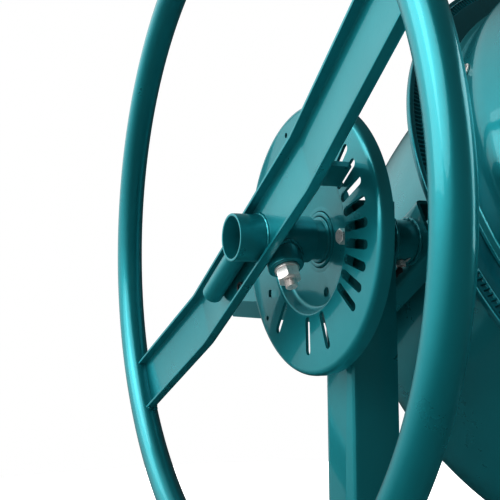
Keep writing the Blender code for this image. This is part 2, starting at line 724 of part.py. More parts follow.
def make_blades(drum):
    """Two bent mixing blades, each held by a radial bolt through the cone's straight band."""
    steps = ((CONE_RADIUS - 20, 4.0), (CONE_RADIUS + 0.4, 4.0),
             (CONE_RADIUS + 0.4, 7.6), (CONE_RADIUS + 6.2, 7.6))
    for index, azimuth in enumerate(BLADE_AZIMUTHS):
        rings = [radial_ring(azimuth, BLADE_BOLT_HEIGHT, reach, radius, 6) for reach, radius in steps]
        loft(f"blade_bolt_{index + 1}", rings, drum, "zinc")
    for index, azimuth in enumerate(BLADE_AZIMUTHS):
        outward, sideways = radial_frame(azimuth)
        wall = CONE_RADIUS - DRUM_SHEET - 1.5
        sheet = 4.0
        stations = ((95.0, 30.0, 0.0), (60.0, 52.0, 6.0), (-20.0, 62.0, 26.0),
                    (-110.0, 66.0, 60.0), (-160.0, 50.0, 84.0))
        sections = []
        for height, depth, drift in stations:
            edge = wall - 7.0 if height < 60 else wall - 5.0
            if height < -100:
                edge = wall - 26.0
            if height < -150:
                edge = wall - 52.0
            tab = 14.0 if height > 50 else 0.0
            root = outward * edge + sideways * drift + Vector((0, 0, height))
            lip = root - outward * depth + sideways * 14.0
            tab_end = root - sideways * (tab + 3.0)
            thick = -outward * sheet
            side = sideways * sheet
            sections.append([tab_end, root + side, lip + side, lip, root + thick, tab_end + thick])
        blade = loft(f"mixing_blade_{index + 1}", sections, drum, "teal_enamel")

        def bolt_hole(bm, azimuth=azimuth):
            add_radial_rod(bm, azimuth, BLADE_BOLT_HEIGHT, CONE_RADIUS - 40, CONE_RADIUS, 4.5)

        cut(blade, [bolt_hole])


def make_crown_segment(drum, index):
    """Half of the cast ring. Its teeth point down, towards the bottom of the drum."""
    per_segment = CROWN_TEETH // CROWN_SEGMENTS
    pitch = 2.0 * math.pi / CROWN_TEETH
    first = index * per_segment
    tip = CROWN_BOTTOM - TOOTH_HEIGHT
    root_half = (TOOTH_HALF + 1.7) / CROWN_PITCH_RADIUS
    tip_half = (TOOTH_HALF - 1.7) / CROWN_PITCH_RADIUS
    margin = 0.15 / CROWN_PITCH_RADIUS
    bm = bmesh.new()

    def vert(angle, radius, height):
        return bm.verts.new((-radius * math.cos(angle), radius * math.sin(angle), height))

    stations = [first * pitch + margin]
    tips = []
    for k in range(per_segment):
        middle = (first + k + 0.5) * pitch
        stations += [middle - root_half, middle + root_half]
        tips.append(middle)
    stations.append((first + per_segment) * pitch - margin)
    inner = [vert(angle, TEETH_INNER, CROWN_BOTTOM) for angle in stations]
    outer = [vert(angle, TEETH_OUTER, CROWN_BOTTOM) for angle in stations]
    for k in range(len(stations) - 1):
        is_tooth = k % 2 == 1
        if not is_tooth:
            bm.faces.new((inner[k], inner[k + 1], outer[k + 1], outer[k]))
            continue
        middle = tips[k // 2]
        low = [vert(middle - tip_half, TEETH_INNER, tip), vert(middle + tip_half, TEETH_INNER, tip),
               vert(middle + tip_half, TEETH_OUTER, tip), vert(middle - tip_half, TEETH_OUTER, tip)]
        bm.faces.new((inner[k], inner[k + 1], low[1], low[0]))
        bm.faces.new((inner[k + 1], outer[k + 1], low[2], low[1]))
        bm.faces.new((outer[k + 1], outer[k], low[3], low[2]))
        bm.faces.new((outer[k], inner[k], low[0], low[3]))
        bm.faces.new(low)

    # The plain body of the ring is turned in coarse steps that share the toothed band's ends
    coarse = [stations[0] + (stations[-1] - stations[0]) * k / BODY_STEPS for k in range(BODY_STEPS + 1)]
    edges = ((CROWN_INNER, CROWN_BOTTOM), (CROWN_INNER, CROWN_TOP),
             (CROWN_OUTER, CROWN_TOP), (CROWN_OUTER, CROWN_BOTTOM))
    rows = [[vert(angle, radius, height) for angle in coarse] for radius, height in edges]
    for near, far in zip(rows, rows[1:]):
        for k in range(BODY_STEPS):
            bm.faces.new((near[k], near[k + 1], far[k + 1], far[k]))
    fill_between(bm, rows[0], coarse, inner, stations)
    fill_between(bm, rows[3], coarse, outer, stations)
    for end in (0, -1):
        bm.faces.new((rows[0][end], rows[1][end], rows[2][end], rows[3][end], outer[end], inner[end]))
    return place_object(f"ring_gear_{index + 1}", bm, drum, "cast_iron")


def fill_between(bm, coarse_row, coarse_angles, fine_row, fine_angles):
    """Flat triangles between two arcs in one plane that have different steps."""
    i = 0
    j = 0
    while i < len(coarse_row) - 1 or j < len(fine_row) - 1:
        next_coarse = coarse_angles[i + 1] if i < len(coarse_row) - 1 else math.inf
        next_fine = fine_angles[j + 1] if j < len(fine_row) - 1 else math.inf
        if next_coarse <= next_fine:
            bm.faces.new((coarse_row[i], coarse_row[i + 1], fine_row[j]))
            i += 1
        else:
            bm.faces.new((coarse_row[i], fine_row[j + 1], fine_row[j]))
            j += 1


# ---------------------------------------------------------------- drive

def make_pinion(drive):
    """Spur pinion on the tilt axis. One tooth points along the drum axis at rest."""
    root = PINION_PITCH_RADIUS - 5.6
    tip = PINION_PITCH_RADIUS + 3.6
    bore = SHAFT_RADIUS + GAP
    outline = []
    for k in range(PINION_TEETH):
        middle = 2.0 * math.pi * k / PINION_TEETH
        for radius, half in ((root, 3.9), (PINION_PITCH_RADIUS, 2.5), (tip, 1.1)):
            outline.append((middle - half / radius, radius))
        for radius, half in ((tip, 1.1), (PINION_PITCH_RADIUS, 2.5), (root, 3.9)):
            outline.append((middle + half / radius, radius))
    sections = []
    for x in (299.0, 312.5):
        sections.append([Vector((x, radius * math.sin(turn), radius * math.cos(turn)))
                         for turn, radius in outline])
    pinion = loft("pinion", sections, drive, "cast_iron")

    def bore_hole(bm):
        add_rod(bm, "X", 290, 320, bore, steps=24)

    cut(pinion, [bore_hole])
    rod("pinion_shaft", "X", 296.0, 440.0, SHAFT_RADIUS, drive, "bright_steel", steps=24)
    pulley = [(BELT_X - 9, SHAFT_RADIUS + GAP), (BELT_X - 9, 22), (BELT_X - 3, 24), (BELT_X - 8, LARGE_PULLEY),
              (BELT_X - 3, LARGE_PULLEY - 6), (BELT_X + 3, LARGE_PULLEY - 6), (BELT_X + 8, LARGE_PULLEY),
              (BELT_X + 3, 24), (BELT_X + 9, 22), (BELT_X + 9, SHAFT_RADIUS + GAP)]
    turned("large_pulley", pulley, "X", drive, "aluminium", steps=36)


def make_motor(frame, rotor):
    spot = (0, MOTOR_Y, TILT_HEIGHT + MOTOR_Z)
    pulley = [(BELT_X - 9, 4), (BELT_X - 9, SMALL_PULLEY + 5), (BELT_X - 5, SMALL_PULLEY + 5),
              (BELT_X - 3, SMALL_PULLEY), (BELT_X + 3, SMALL_PULLEY), (BELT_X + 5, SMALL_PULLEY + 5),
              (BELT_X + 9, SMALL_PULLEY + 5), (BELT_X + 9, 7.0), (BELT_X + 24, 7.0), (BELT_X + 24, 4)]
    turned("motor_pulley", pulley, "X", rotor, "aluminium", steps=24)

    body = [(BELT_X + 14, 8.0), (BELT_X + 14, 30), (BELT_X + 20, 52), (BELT_X + 118, 52),
            (BELT_X + 126, 40), (BELT_X + 126, 8.0)]
    turned("electric_motor", body, "X", frame, "aluminium", spot, 32)

    shelf_z = TILT_HEIGHT + MOTOR_Z - 52.4
    block("motor_shelf", (PLATE_X + 3.4, MOTOR_Y - 50, shelf_z - 4), (BELT_X + 122, MOTOR_Y + 50, shelf_z),
          frame, "teal_enamel")

    make_belt(frame)
    make_housing(frame)


def belt_outline(large, small):
    """Outline of a crossed-free belt round both pulleys, as (Y, Z) from the tilt axis."""
    centre = Vector((MOTOR_Y, MOTOR_Z))
    distance = centre.length
    line = math.atan2(MOTOR_Z, MOTOR_Y)
    lean = math.acos((large - small) / distance)
    points = []
    for k in range(25):
        angle = line + lean + (2.0 * math.pi - 2.0 * lean) * k / 24
        points.append((large * math.cos(angle), large * math.sin(angle)))
    for k in range(13):
        angle = line - lean + 2.0 * lean * k / 12
        points.append((centre.x + small * math.cos(angle), centre.y + small * math.sin(angle)))
    return points


def make_belt(frame):
    inner = belt_outline(LARGE_PULLEY - 5.4, SMALL_PULLEY + 0.6)
    outer = belt_outline(LARGE_PULLEY - 0.6, SMALL_PULLEY + 5.4)
    sections = []
    left, right = BELT_X - 2.6, BELT_X + 2.6
    for (y0, z0), (y1, z1) in zip(inner, outer):
        low, high = TILT_HEIGHT + z0, TILT_HEIGHT + z1
        sections.append([Vector((left, y0, low)), Vector((right, y0, low)),
                         Vector((right, y1, high)), Vector((left, y1, high))])
    loft("drive_belt", sections, frame, "rubber", closed=True)


def rounded_outline(y_low, y_high, z_low, z_high, radius, steps=4):
    points = []
    corners = ((y_high - radius, z_high - radius, 0), (y_low + radius, z_high - radius, 90),
               (y_low + radius, z_low + radius, 180), (y_high - radius, z_low + radius, 270))
    for y, z, start in corners:
        for k in range(steps + 1):
            angle = math.radians(start + 90 * k / steps)
            points.append((y + radius * math.cos(angle), z + radius * math.sin(angle)))
    return points


COVER_BOX = (-125.0, 150.0, -300.0, 130.0)     # front, back, bottom and top from the tilt axis


def cover_ring(x, inset):
    y_low, y_high, z_low, z_high = COVER_BOX
    radius = 32 - inset * 0.5
    outline = rounded_outline(y_low + inset, y_high - inset, z_low + inset, z_high - inset, radius)
    return [Vector((x, y, TILT_HEIGHT + z)) for y, z in outline]


def make_housing(frame):
    y_low = COVER_BOX[0]
    plate = [Vector((PLATE_X, v.y, v.z)) for v in cover_ring(0, 0)]
    plate_back = [Vector((PLATE_X + 3, v.y, v.z)) for v in cover_ring(0, 0)]
    plate_object = loft("motor_back_plate", [plate, plate_back], frame, "teal_enamel")

    def shaft_hole(bm):
        add_rod(bm, "X", PLATE_X - 10, PLATE_X + 10, SLEEVE_RADIUS + GAP, (0, 0, TILT_HEIGHT), 32)

    cut(plate_object, [shaft_hole])
    tube("right_bearing_sleeve", "X", 347.0, 400.0, SLEEVE_RADIUS, SLEEVE_BORE, frame, "teal_enamel",
         (0, 0, TILT_HEIGHT), 32)

    start = PLATE_X + 3 + GAP
    wall = 3.0
    sections = [cover_ring(COVER_X - wall, 26), cover_ring(COVER_X - 24, wall), cover_ring(start, wall),
                cover_ring(start, 0), cover_ring(COVER_X - 24, 0), cover_ring(COVER_X, 24)]
    loft("motor_cover", sections, frame, "teal_enamel")

    # Switch box on the front of the cover, with the inlet under it
    box_x = (455.0, 525.0)
    front = y_low - GAP
    face = front - 42.0
    box_z = (TILT_HEIGHT - 105.0, TILT_HEIGHT - 5.0)
    low = (box_x[0], face, box_z[0])
    high = (box_x[1], front, box_z[1])
    box = block("switch_box", low, high, frame, "black_plastic")
    middle = (box_x[0] + box_x[1]) / 2.0

    def button_wells(bm):
        for z in (-32.0, -68.0):
            add_rod(bm, "Y", face - 5, face + 14, 12.5, (middle, 0, TILT_HEIGHT + z), 24)

    cut(box, [button_wells])
    for name, z, slot in (("start_button", -32.0, "green_plastic"), ("stop_button", -68.0, "red_plastic")):
        hub = empty(f"{name}_axis", (middle, face, TILT_HEIGHT + z), frame)
        rod(name, "Y", -5.0, 9.0, 12.0, hub, slot, steps=24)

    inlet = [(-32.0, 14.0), (-32.0, 19.0), (-GAP, 19.0), (-GAP, 2.0), (-8.0, 2.0), (-8.0, 14.0)]
    spot = (middle, (face + front) / 2.0, box_z[0])
    turned("power_inlet", inlet, "Z", frame, "black_plastic", spot, 24)


def main():
    clear_scene()
    frame = empty("stand_frame", (ORIGIN_X, ORIGIN_Y, 0))
    make_stand(frame)
    make_wheels(frame)
    make_locking_disc(frame)

    lean = math.radians(90.0 - DRUM_TILT)
    tilted = (lean, 0, 0)
    pivot = (0, 0, TILT_HEIGHT)
    make_handwheel(empty("handwheel_axis", pivot, frame, tilted))
    make_yoke(empty("tilt_axis", pivot, frame, tilted))
    make_drum(empty("drum_axis", pivot, frame, tilted))
    make_pinion(empty("drive_axis", pivot, frame, tilted))
    rotor = empty("motor_axis", (0, MOTOR_Y, TILT_HEIGHT + MOTOR_Z), frame)
    make_motor(frame, rotor)
    bpy.context.view_layer.update()


main()
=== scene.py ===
"""Looks of the portable concrete mixer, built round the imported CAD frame."""
import json
import math
import random

import bmesh
import bpy
from mathutils import Matrix, Vector


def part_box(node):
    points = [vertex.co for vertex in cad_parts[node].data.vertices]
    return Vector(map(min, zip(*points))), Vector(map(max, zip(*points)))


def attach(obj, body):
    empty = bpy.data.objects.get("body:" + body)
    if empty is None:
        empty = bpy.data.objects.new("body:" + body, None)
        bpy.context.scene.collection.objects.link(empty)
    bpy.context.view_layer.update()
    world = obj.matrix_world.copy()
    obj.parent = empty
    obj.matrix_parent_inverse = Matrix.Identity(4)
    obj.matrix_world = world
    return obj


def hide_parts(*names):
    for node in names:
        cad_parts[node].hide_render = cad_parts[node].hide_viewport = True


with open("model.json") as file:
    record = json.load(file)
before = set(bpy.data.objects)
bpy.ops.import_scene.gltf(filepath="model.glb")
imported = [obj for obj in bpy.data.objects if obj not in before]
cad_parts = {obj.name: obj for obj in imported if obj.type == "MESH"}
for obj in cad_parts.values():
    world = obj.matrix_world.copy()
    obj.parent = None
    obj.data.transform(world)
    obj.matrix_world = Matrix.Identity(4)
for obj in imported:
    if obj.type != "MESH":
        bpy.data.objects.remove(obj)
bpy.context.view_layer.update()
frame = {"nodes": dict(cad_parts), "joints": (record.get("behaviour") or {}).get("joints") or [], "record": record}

MM = 0.001
JOINTS = {joint["name"]: joint for joint in frame["joints"]}
PIVOT = Vector(JOINTS["drum_tilt"]["pos_m"])          # a point on the tilt axis
DRUM_LINE = Vector(JOINTS["drum_spin"]["axis"])       # from the drum's bottom to its mouth
LEAN = math.atan2(-DRUM_LINE.y, DRUM_LINE.z)

# Two local frames, in millimetres. UPRIGHT has its origin on the ground under the tilt axis.
# TILTED has its origin on the tilt axis, and its Z runs along the drum axis and the spoke.
SCALE = Matrix.Scale(MM, 4)
UPRIGHT = Matrix.Translation((PIVOT.x, PIVOT.y, 0.0)) @ SCALE
TILTED = Matrix.Translation(PIVOT) @ Matrix.Rotation(LEAN, 4, "X") @ SCALE
TILT_HEIGHT = PIVOT.z / MM


TILTING = ("yoke", "handwheel", "drum", "drive")       # bodies whose pieces are made in TILTED


def span(node, place=UPRIGHT):
    """Lowest and highest corner of a CAD node in a local frame, in millimetres."""
    back = place.inverted()
    points = [back @ v.co for v in frame["nodes"][node].data.vertices]
    low = Vector([min(p[k] for p in points) for k in range(3)])
    high = Vector([max(p[k] for p in points) for k in range(3)])
    return low, high


# ---------------- materials

def shader_nodes(name):
    made = bpy.data.materials.new(name)
    made.use_nodes = True
    tree = made.node_tree
    shader = tree.nodes["Principled BSDF"]
    place = tree.nodes.new("ShaderNodeTexCoord")
    return made, tree, shader, place.outputs["Object"]


def noise(tree, source, scale, detail=3.0, rough=0.5):
    made = tree.nodes.new("ShaderNodeTexNoise")
    made.inputs["Scale"].default_value = scale
    made.inputs["Detail"].default_value = detail
    made.inputs["Roughness"].default_value = rough
    tree.links.new(source, made.inputs["Vector"])
    return made.outputs["Fac"]


def remap(tree, value, low, high, start=0.3, end=0.7):
    made = tree.nodes.new("ShaderNodeMapRange")
    made.inputs["From Min"].default_value = start
    made.inputs["From Max"].default_value = end
    made.inputs["To Min"].default_value = low
    made.inputs["To Max"].default_value = high
    tree.links.new(value, made.inputs["Value"])
    return made.outputs["Result"]


def blend_colours(tree, factor, first, second):
    made = tree.nodes.new("ShaderNodeMix")
    made.data_type = "RGBA"
    made.inputs["A"].default_value = (*first, 1.0)
    made.inputs["B"].default_value = (*second, 1.0)
    tree.links.new(factor, made.inputs["Factor"])
    return made.outputs["Result"]


def bump(tree, shader, height, strength, distance):
    made = tree.nodes.new("ShaderNodeBump")
    made.inputs["Strength"].default_value = strength
    made.inputs["Distance"].default_value = distance
    tree.links.new(height, made.inputs["Height"])
    tree.links.new(made.outputs["Normal"], shader.inputs["Normal"])


def enamel(name, dark, light, peel, grain_scale, gloss=(0.26, 0.36), flake=0.55):
    """Sprayed metallic enamel: slow tone changes, orange peel and tinted gloss."""
    made, tree, shader, place = shader_nodes(name)
    tone = remap(tree, noise(tree, place, 7.0, 4.0), 0.0, 1.0)
    tree.links.new(blend_colours(tree, tone, dark, light), shader.inputs["Base Color"])
    smudge = noise(tree, place, 26.0, 5.0, 0.6)
    tree.links.new(remap(tree, smudge, gloss[0], gloss[1]), shader.inputs["Roughness"])
    shader.inputs["Metallic"].default_value = flake
    shader.inputs["Specular IOR Level"].default_value = 0.4
    shader.inputs["Specular Tint"].default_value = (0.80, 0.98, 1.0, 1.0)
    shader.inputs["Coat Weight"].default_value = 0.8
    shader.inputs["Coat Roughness"].default_value = 0.06
    bump(tree, shader, noise(tree, place, grain_scale, 3.0), peel, 0.0006)
    return made


def plated(name, warm, cool, rough, metallic=1.0, grain=900.0, strength=0.12):
    """Plated or turned metal with fine grain and cloudy passivation."""
    made, tree, shader, place = shader_nodes(name)
    cloud = remap(tree, noise(tree, place, 110.0, 4.0, 0.6), 0.0, 1.0)
    tree.links.new(blend_colours(tree, cloud, warm, cool), shader.inputs["Base Color"])
    shader.inputs["Metallic"].default_value = metallic
    fine = noise(tree, place, grain, 3.0)
    tree.links.new(remap(tree, fine, rough[0], rough[1]), shader.inputs["Roughness"])
    bump(tree, shader, fine, strength, 0.0003)
    return made


def moulded(name, dark, light, rough, grain, strength):
    """Rubber and moulded plastic: fine pebbled grain and a slow change of tone."""
    made, tree, shader, place = shader_nodes(name)
    tone = remap(tree, noise(tree, place, 18.0, 5.0), 0.0, 1.0)
    tree.links.new(blend_colours(tree, tone, dark, light), shader.inputs["Base Color"])
    pebble = noise(tree, place, grain, 2.0)
    tree.links.new(remap(tree, pebble, rough[0], rough[1]), shader.inputs["Roughness"])
    bump(tree, shader, pebble, strength, 0.0004)
    return made


TEAL_DARK = (0.009, 0.215, 0.242)
TEAL_LIGHT = (0.013, 0.275, 0.305)
IRON_DARK = (0.006, 0.190, 0.220)
IRON_LIGHT = (0.009, 0.250, 0.285)
BLACK_DARK = (0.014, 0.014, 0.015)
BLACK_LIGHT = (0.022, 0.022, 0.024)
BUTTON = (0.22, 0.34)       # roughness of the two buttons
LOOKS = {
    "teal_enamel": enamel("teal_enamel", TEAL_DARK, TEAL_LIGHT, 0.06, 420.0),
    "cast_iron": enamel("cast_iron", IRON_DARK, IRON_LIGHT, 0.35, 700.0, (0.28, 0.42), 0.8),
    "weld": enamel("weld", TEAL_DARK, TEAL_LIGHT, 0.55, 520.0, (0.16, 0.28)),
    "zinc": plated("zinc", (0.86, 0.81, 0.78), (0.74, 0.73, 0.72), (0.26, 0.40), 0.72),
    "bright_steel": plated("bright_steel", (0.52, 0.52, 0.53), (0.66, 0.66, 0.67), (0.24, 0.40)),
    "aluminium": plated("aluminium", (0.58, 0.59, 0.61), (0.70, 0.71, 0.72), (0.36, 0.52), 1.0, 500.0, 0.3),
    "rubber": moulded("rubber", (0.016, 0.016, 0.017), (0.036, 0.035, 0.034), (0.60, 0.85), 900.0, 0.4),
    "black_plastic": moulded("black_plastic", BLACK_DARK, BLACK_LIGHT, (0.38, 0.55), 1600.0, 0.25),
    "green_plastic": moulded("green_plastic", (0.01, 0.21, 0.05), (0.016, 0.27, 0.07), BUTTON, 1200.0, 0.1),
    "red_plastic": moulded("red_plastic", (0.42, 0.012, 0.012), (0.52, 0.02, 0.018), BUTTON, 1200.0, 0.1),
}
RECORD_SLOT = {"weld": "teal_enamel"}       # a look that the record doesn't name, and the record slot that matches it; piece() looks it up but keeps no result

for subpart in frame["record"]["subparts"]:
    node = frame["nodes"][subpart["node"]]
    node.data.materials.clear()
    node.data.materials.append(LOOKS[subpart["material_slot"]])


# ---------------- mesh helpers

def add_object(name, data):
    made = bpy.data.objects.new(name, data)
    bpy.context.scene.collection.objects.link(made)
    return made


def to_mesh(name, bm):
    mesh = bpy.data.meshes.new(name)
    bm.to_mesh(mesh)
    bm.free()
    return mesh


def piece(name, bm, body, stands_for=(), look="teal_enamel", sharp=38.0, place=None):
    """Turn a bmesh in a body's local millimetres into a finished piece that rides on it."""
    bmesh.ops.remove_doubles(bm, verts=bm.verts, dist=1e-4)
    bmesh.ops.recalc_face_normals(bm, faces=bm.faces)
    mesh = to_mesh(name, bm)
    mesh.transform(place or (TILTED if body in TILTING else UPRIGHT))
    mesh.materials.append(LOOKS[look])
    mesh.shade_smooth()
    mesh.set_sharp_from_angle(angle=math.radians(sharp))
    made = add_object(name, mesh)
    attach(made, body)
    if stands_for:
        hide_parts(*stands_for)
    RECORD_SLOT.get(look, look)
    return made


def fillet(points, radii, steps=4):
    """Round the corners of an outline. A radius of 0 keeps the point as it is."""
    rounded = []
    count = len(points)
    for k, radius in enumerate(radii):
        corner = Vector(points[k])
        before = Vector(points[k - 1]) - corner
        after = Vector(points[(k + 1) % count]) - corner
        if radius <= 0:
            rounded.append(corner)
            continue
        half = before.angle(after) / 2.0
        reach = min(radius / math.tan(half), before.length * 0.45, after.length * 0.45)
        start = corner + before.normalized() * reach
        end = corner + after.normalized() * reach
        for j in range(steps + 1):
            t = j / steps
            rounded.append(start * (1 - t) ** 2 + corner * (2 * t * (1 - t)) + end * t ** 2)
    return rounded


def add_loft(bm, sections, closed=False):
    """Join rings of equal point count. An open row gets a cap at both ends."""
    rows = [[bm.verts.new(point) for point in ring] for ring in sections]
    count = len(rows[0])
    pairs = list(zip(rows, rows[1:]))
    if closed:
        pairs.append((rows[-1], rows[0]))
    for first, second in pairs:
        for k in range(count):
            n = (k + 1) % count
            bm.faces.new((first[k], first[n], second[n], second[k]))
    if not closed:
        bm.faces.new(rows[0])
        bm.faces.new(list(reversed(rows[-1])))


def on_axis(axis, along, first, second):
    """Point with one place along an axis and two across it."""
    if axis == "X":
        return Vector((along, first, second))
    if axis == "Y":
        return Vector((second, along, first))
    return Vector((first, second, along))


def turns(steps):
    """Evenly spaced angles, once round."""
    return [2.0 * math.pi * k / steps for k in range(steps)]


def around(axis, along, radius, angle, centre=(0, 0, 0)):
    """One point of a circle about an axis through centre."""
    return on_axis(axis, along, radius * math.cos(angle), radius * math.sin(angle)) + Vector(centre)


def add_turned(bm, profile, axis, centre=(0, 0, 0), steps=64):
    """Turn a closed profile of (along, radius) points about an axis through centre."""
    sections = [[around(axis, a, r, angle, centre) for a, r in profile] for angle in turns(steps)]
    add_loft(bm, sections, closed=True)


def ring(axis, along, radius, centre, steps):
    return [around(axis, along, radius, angle, centre) for angle in turns(steps)]


def add_rod(bm, axis, start, end, radius, centre=(0, 0, 0), steps=48, edge=0.6):
    """Solid round bar with a small chamfer at both ends."""
    stops = ((start, radius - edge), (start + edge, radius), (end - edge, radius), (end, radius - edge))
    add_loft(bm, [ring(axis, along, size, centre, steps) for along, size in stops])


def add_tube(bm, axis, start, end, radius, bore, centre=(0, 0, 0), steps=72, edge=0.5):
    profile = fillet([(start, bore), (start, radius), (end, radius), (end, bore)], [edge] * 4, 2)
    add_turned(bm, profile, axis, centre, steps)


def add_hexagon(bm, axis, start, end, across, centre, chamfered=(True, True)):
    """Hexagon prism whose corners are turned off, as on a real nut or bolt head."""
    height = abs(end - start)
    sixth = math.pi / 3.0
    sections = []
    for depth in (0.0, 0.35, 0.8, 1.4, height - 1.4, height - 0.8, height - 0.35, height):
        near = depth if chamfered[0] else height
        far = height - depth if chamfered[1] else height
        limit = across / 2.0 * 0.96 + 1.9 * min(near, far)
        along = start + math.copysign(depth, end - start)
        points = []
        for angle in turns(48):
            from_flat = (angle + sixth / 2.0) % sixth - sixth / 2.0
            radius = min(across / 2.0 / math.cos(from_flat), limit)
            points.append(around(axis, along, radius, angle, centre))
        sections.append(points)
    add_loft(bm, sections)


def add_head(bm, axis, seat, washer_top, top, radius, bore, across, centre=(0, 0, 0), steps=44):
    """Flat washer on a seat with a hexagon head or nut on it. Top is its outer end."""
    add_tube(bm, axis, seat, washer_top, radius, bore, centre, steps, 0.3)
    add_hexagon(bm, axis, washer_top, top, across, centre, (False, True))


def add_thread(bm, axis, start, end, radius, pitch, centre=(0, 0, 0)):
    """Screw thread as a spiral ridge, with a turned-down tip at the end."""
    steps = 36
    levels = max(8, int(abs(end - start) / pitch * 8))
    sections = []
    for j in range(levels + 1):
        along = start + (end - start) * j / levels
        tip = 0.4 if j == levels else 0.0
        points = []
        for k, angle in enumerate(turns(steps)):
            turn = abs(along) / pitch + k / steps
            depth = 0.61 * pitch * abs(turn % 1.0 - 0.5) * 2.0
            points.append(around(axis, along, radius - depth - tip, angle, centre))
        sections.append(points)
    add_loft(bm, sections)


def add_bead(bm, route, radius, closed=False, seed=1):
    """Weld bead: a rippled tube along a route."""
    draw = random.Random(seed)
    helper = Vector((0.31, 0.53, 0.79))     # any direction that no route runs along
    count = len(route)
    sections = []
    for k, point in enumerate(route):
        if closed:
            ahead, behind = route[(k + 1) % count], route[k - 1]
        else:
            ahead, behind = route[min(k + 1, count - 1)], route[max(k - 1, 0)]
        line = (Vector(ahead) - Vector(behind)).normalized()
        first = line.cross(helper).normalized()
        second = line.cross(first)
        size = radius * (1.0 + 0.16 * math.sin(k * 1.9) + draw.uniform(-0.05, 0.05))
        if not closed and k in (0, count - 1):
            size *= 0.4
        sections.append([Vector(point) + first * (size * math.cos(a)) + second * (size * math.sin(a))
                         for a in turns(10)])
    add_loft(bm, sections, closed)


def channel_outline(width, flange, sheet, fold):
    """Folded U section as (across, height) points: the web is at height 0."""
    half = width / 2.0
    points = [(-half, 0), (half, 0), (half, flange), (half - sheet, flange),
              (half - sheet, sheet), (-half + sheet, sheet), (-half + sheet, flange), (-half, flange)]
    inner = max(0.5, fold - sheet)
    return fillet(points, [fold, fold, 0.5, 0.5, inner, inner, 0.5, 0.5], 3)


def rounded_box(width, height, radius, steps=5):
    """Rounded rectangle outline centred on (0, 0)."""
    w, h = width / 2.0, height / 2.0
    return fillet([(-w, -h), (w, -h), (w, h), (-w, h)], [radius] * 4, steps)


def add_bar(bm, outline, start, end, to_point, edge):
    """Straight bar: to_point turns (along, a, b) into a point. Its ends are a little eased."""
    centre = sum((Vector(p) for p in outline), Vector((0, 0))) / len(outline)
    sections = []
    for along, shrink in ((start, True), (start + edge, False), (end - edge, False), (end, True)):
        points = []
        for p in outline:
            p = Vector(p)
            if shrink:
                p = centre + (p - centre) * (1.0 - edge / max((p - centre).length, 1.0) * 0.6)
            points.append(to_point(along, p.x, p.y))
        sections.append(points)
    add_loft(bm, sections)


def add_plate(bm, outline, start, end):
    """Flat body between two places along X, with a (Y, Z) outline."""
    add_loft(bm, [[Vector((x, y, z)) for y, z in outline] for x in (start, end)])


def carve(target, place, *makers):
    """Cut holes with closed bodies built in local millimetres, and keep the plain mesh."""
    for make in makers:
        bm = bmesh.new()
        make(bm)
        bmesh.ops.recalc_face_normals(bm, faces=bm.faces)
        mesh = to_mesh("cutter", bm)
        mesh.transform(place)
        cutter = add_object("cutter", mesh)
        hole = target.modifiers.new("hole", "BOOLEAN")
        hole.operation = "DIFFERENCE"
        hole.solver = "EXACT"
        hole.object = cutter
        bpy.context.view_layer.update()
        evaluated = target.evaluated_get(bpy.context.evaluated_depsgraph_get())
        result = bpy.data.meshes.new_from_object(evaluated)
        target.modifiers.clear()
        target.data = result
        bpy.data.objects.remove(cutter, do_unlink=True)
    target.data.set_sharp_from_angle(angle=math.radians(38))


def soften(obj, width, segments=2, angle=40.0):
    """Round the sharp edges of a piece or a CAD node with a small bevel."""
    made = obj.modifiers.new("soft_edges", "BEVEL")
    made.width = width * MM
    made.segments = segments
    made.limit_method = "ANGLE"
    made.angle_limit = math.radians(angle)
    made.use_clamp_overlap = True


# ---------------- hand wheel

RIM_TUBE = 12.7
RIM_RADIUS = 275.0
SPOKE_WIDTH = 51.0
SPOKE_FLANGE = 10.0
SPOKE_SHEET = 2.5
SPOKE_REACH = 263.6
SPOKE_BEND_UP = 95.0
SPOKE_BEND_DOWN = 130.0
PIPE_RADIUS = 19.0
PIPE_BORE = 16.7
BOLT_RADIUS = 5.0
BOSS_RADIUS = 14.4
CLIP_RADIUS = 4.2
CLIP_SPOT = (0, -17.5, -47.0)


def bolt_place():
    """Where the hub bolt's axis crosses the pipe, along X."""
    low, high = span("hub_nut", TILTED)
    return (low.x + high.x) / 2.0


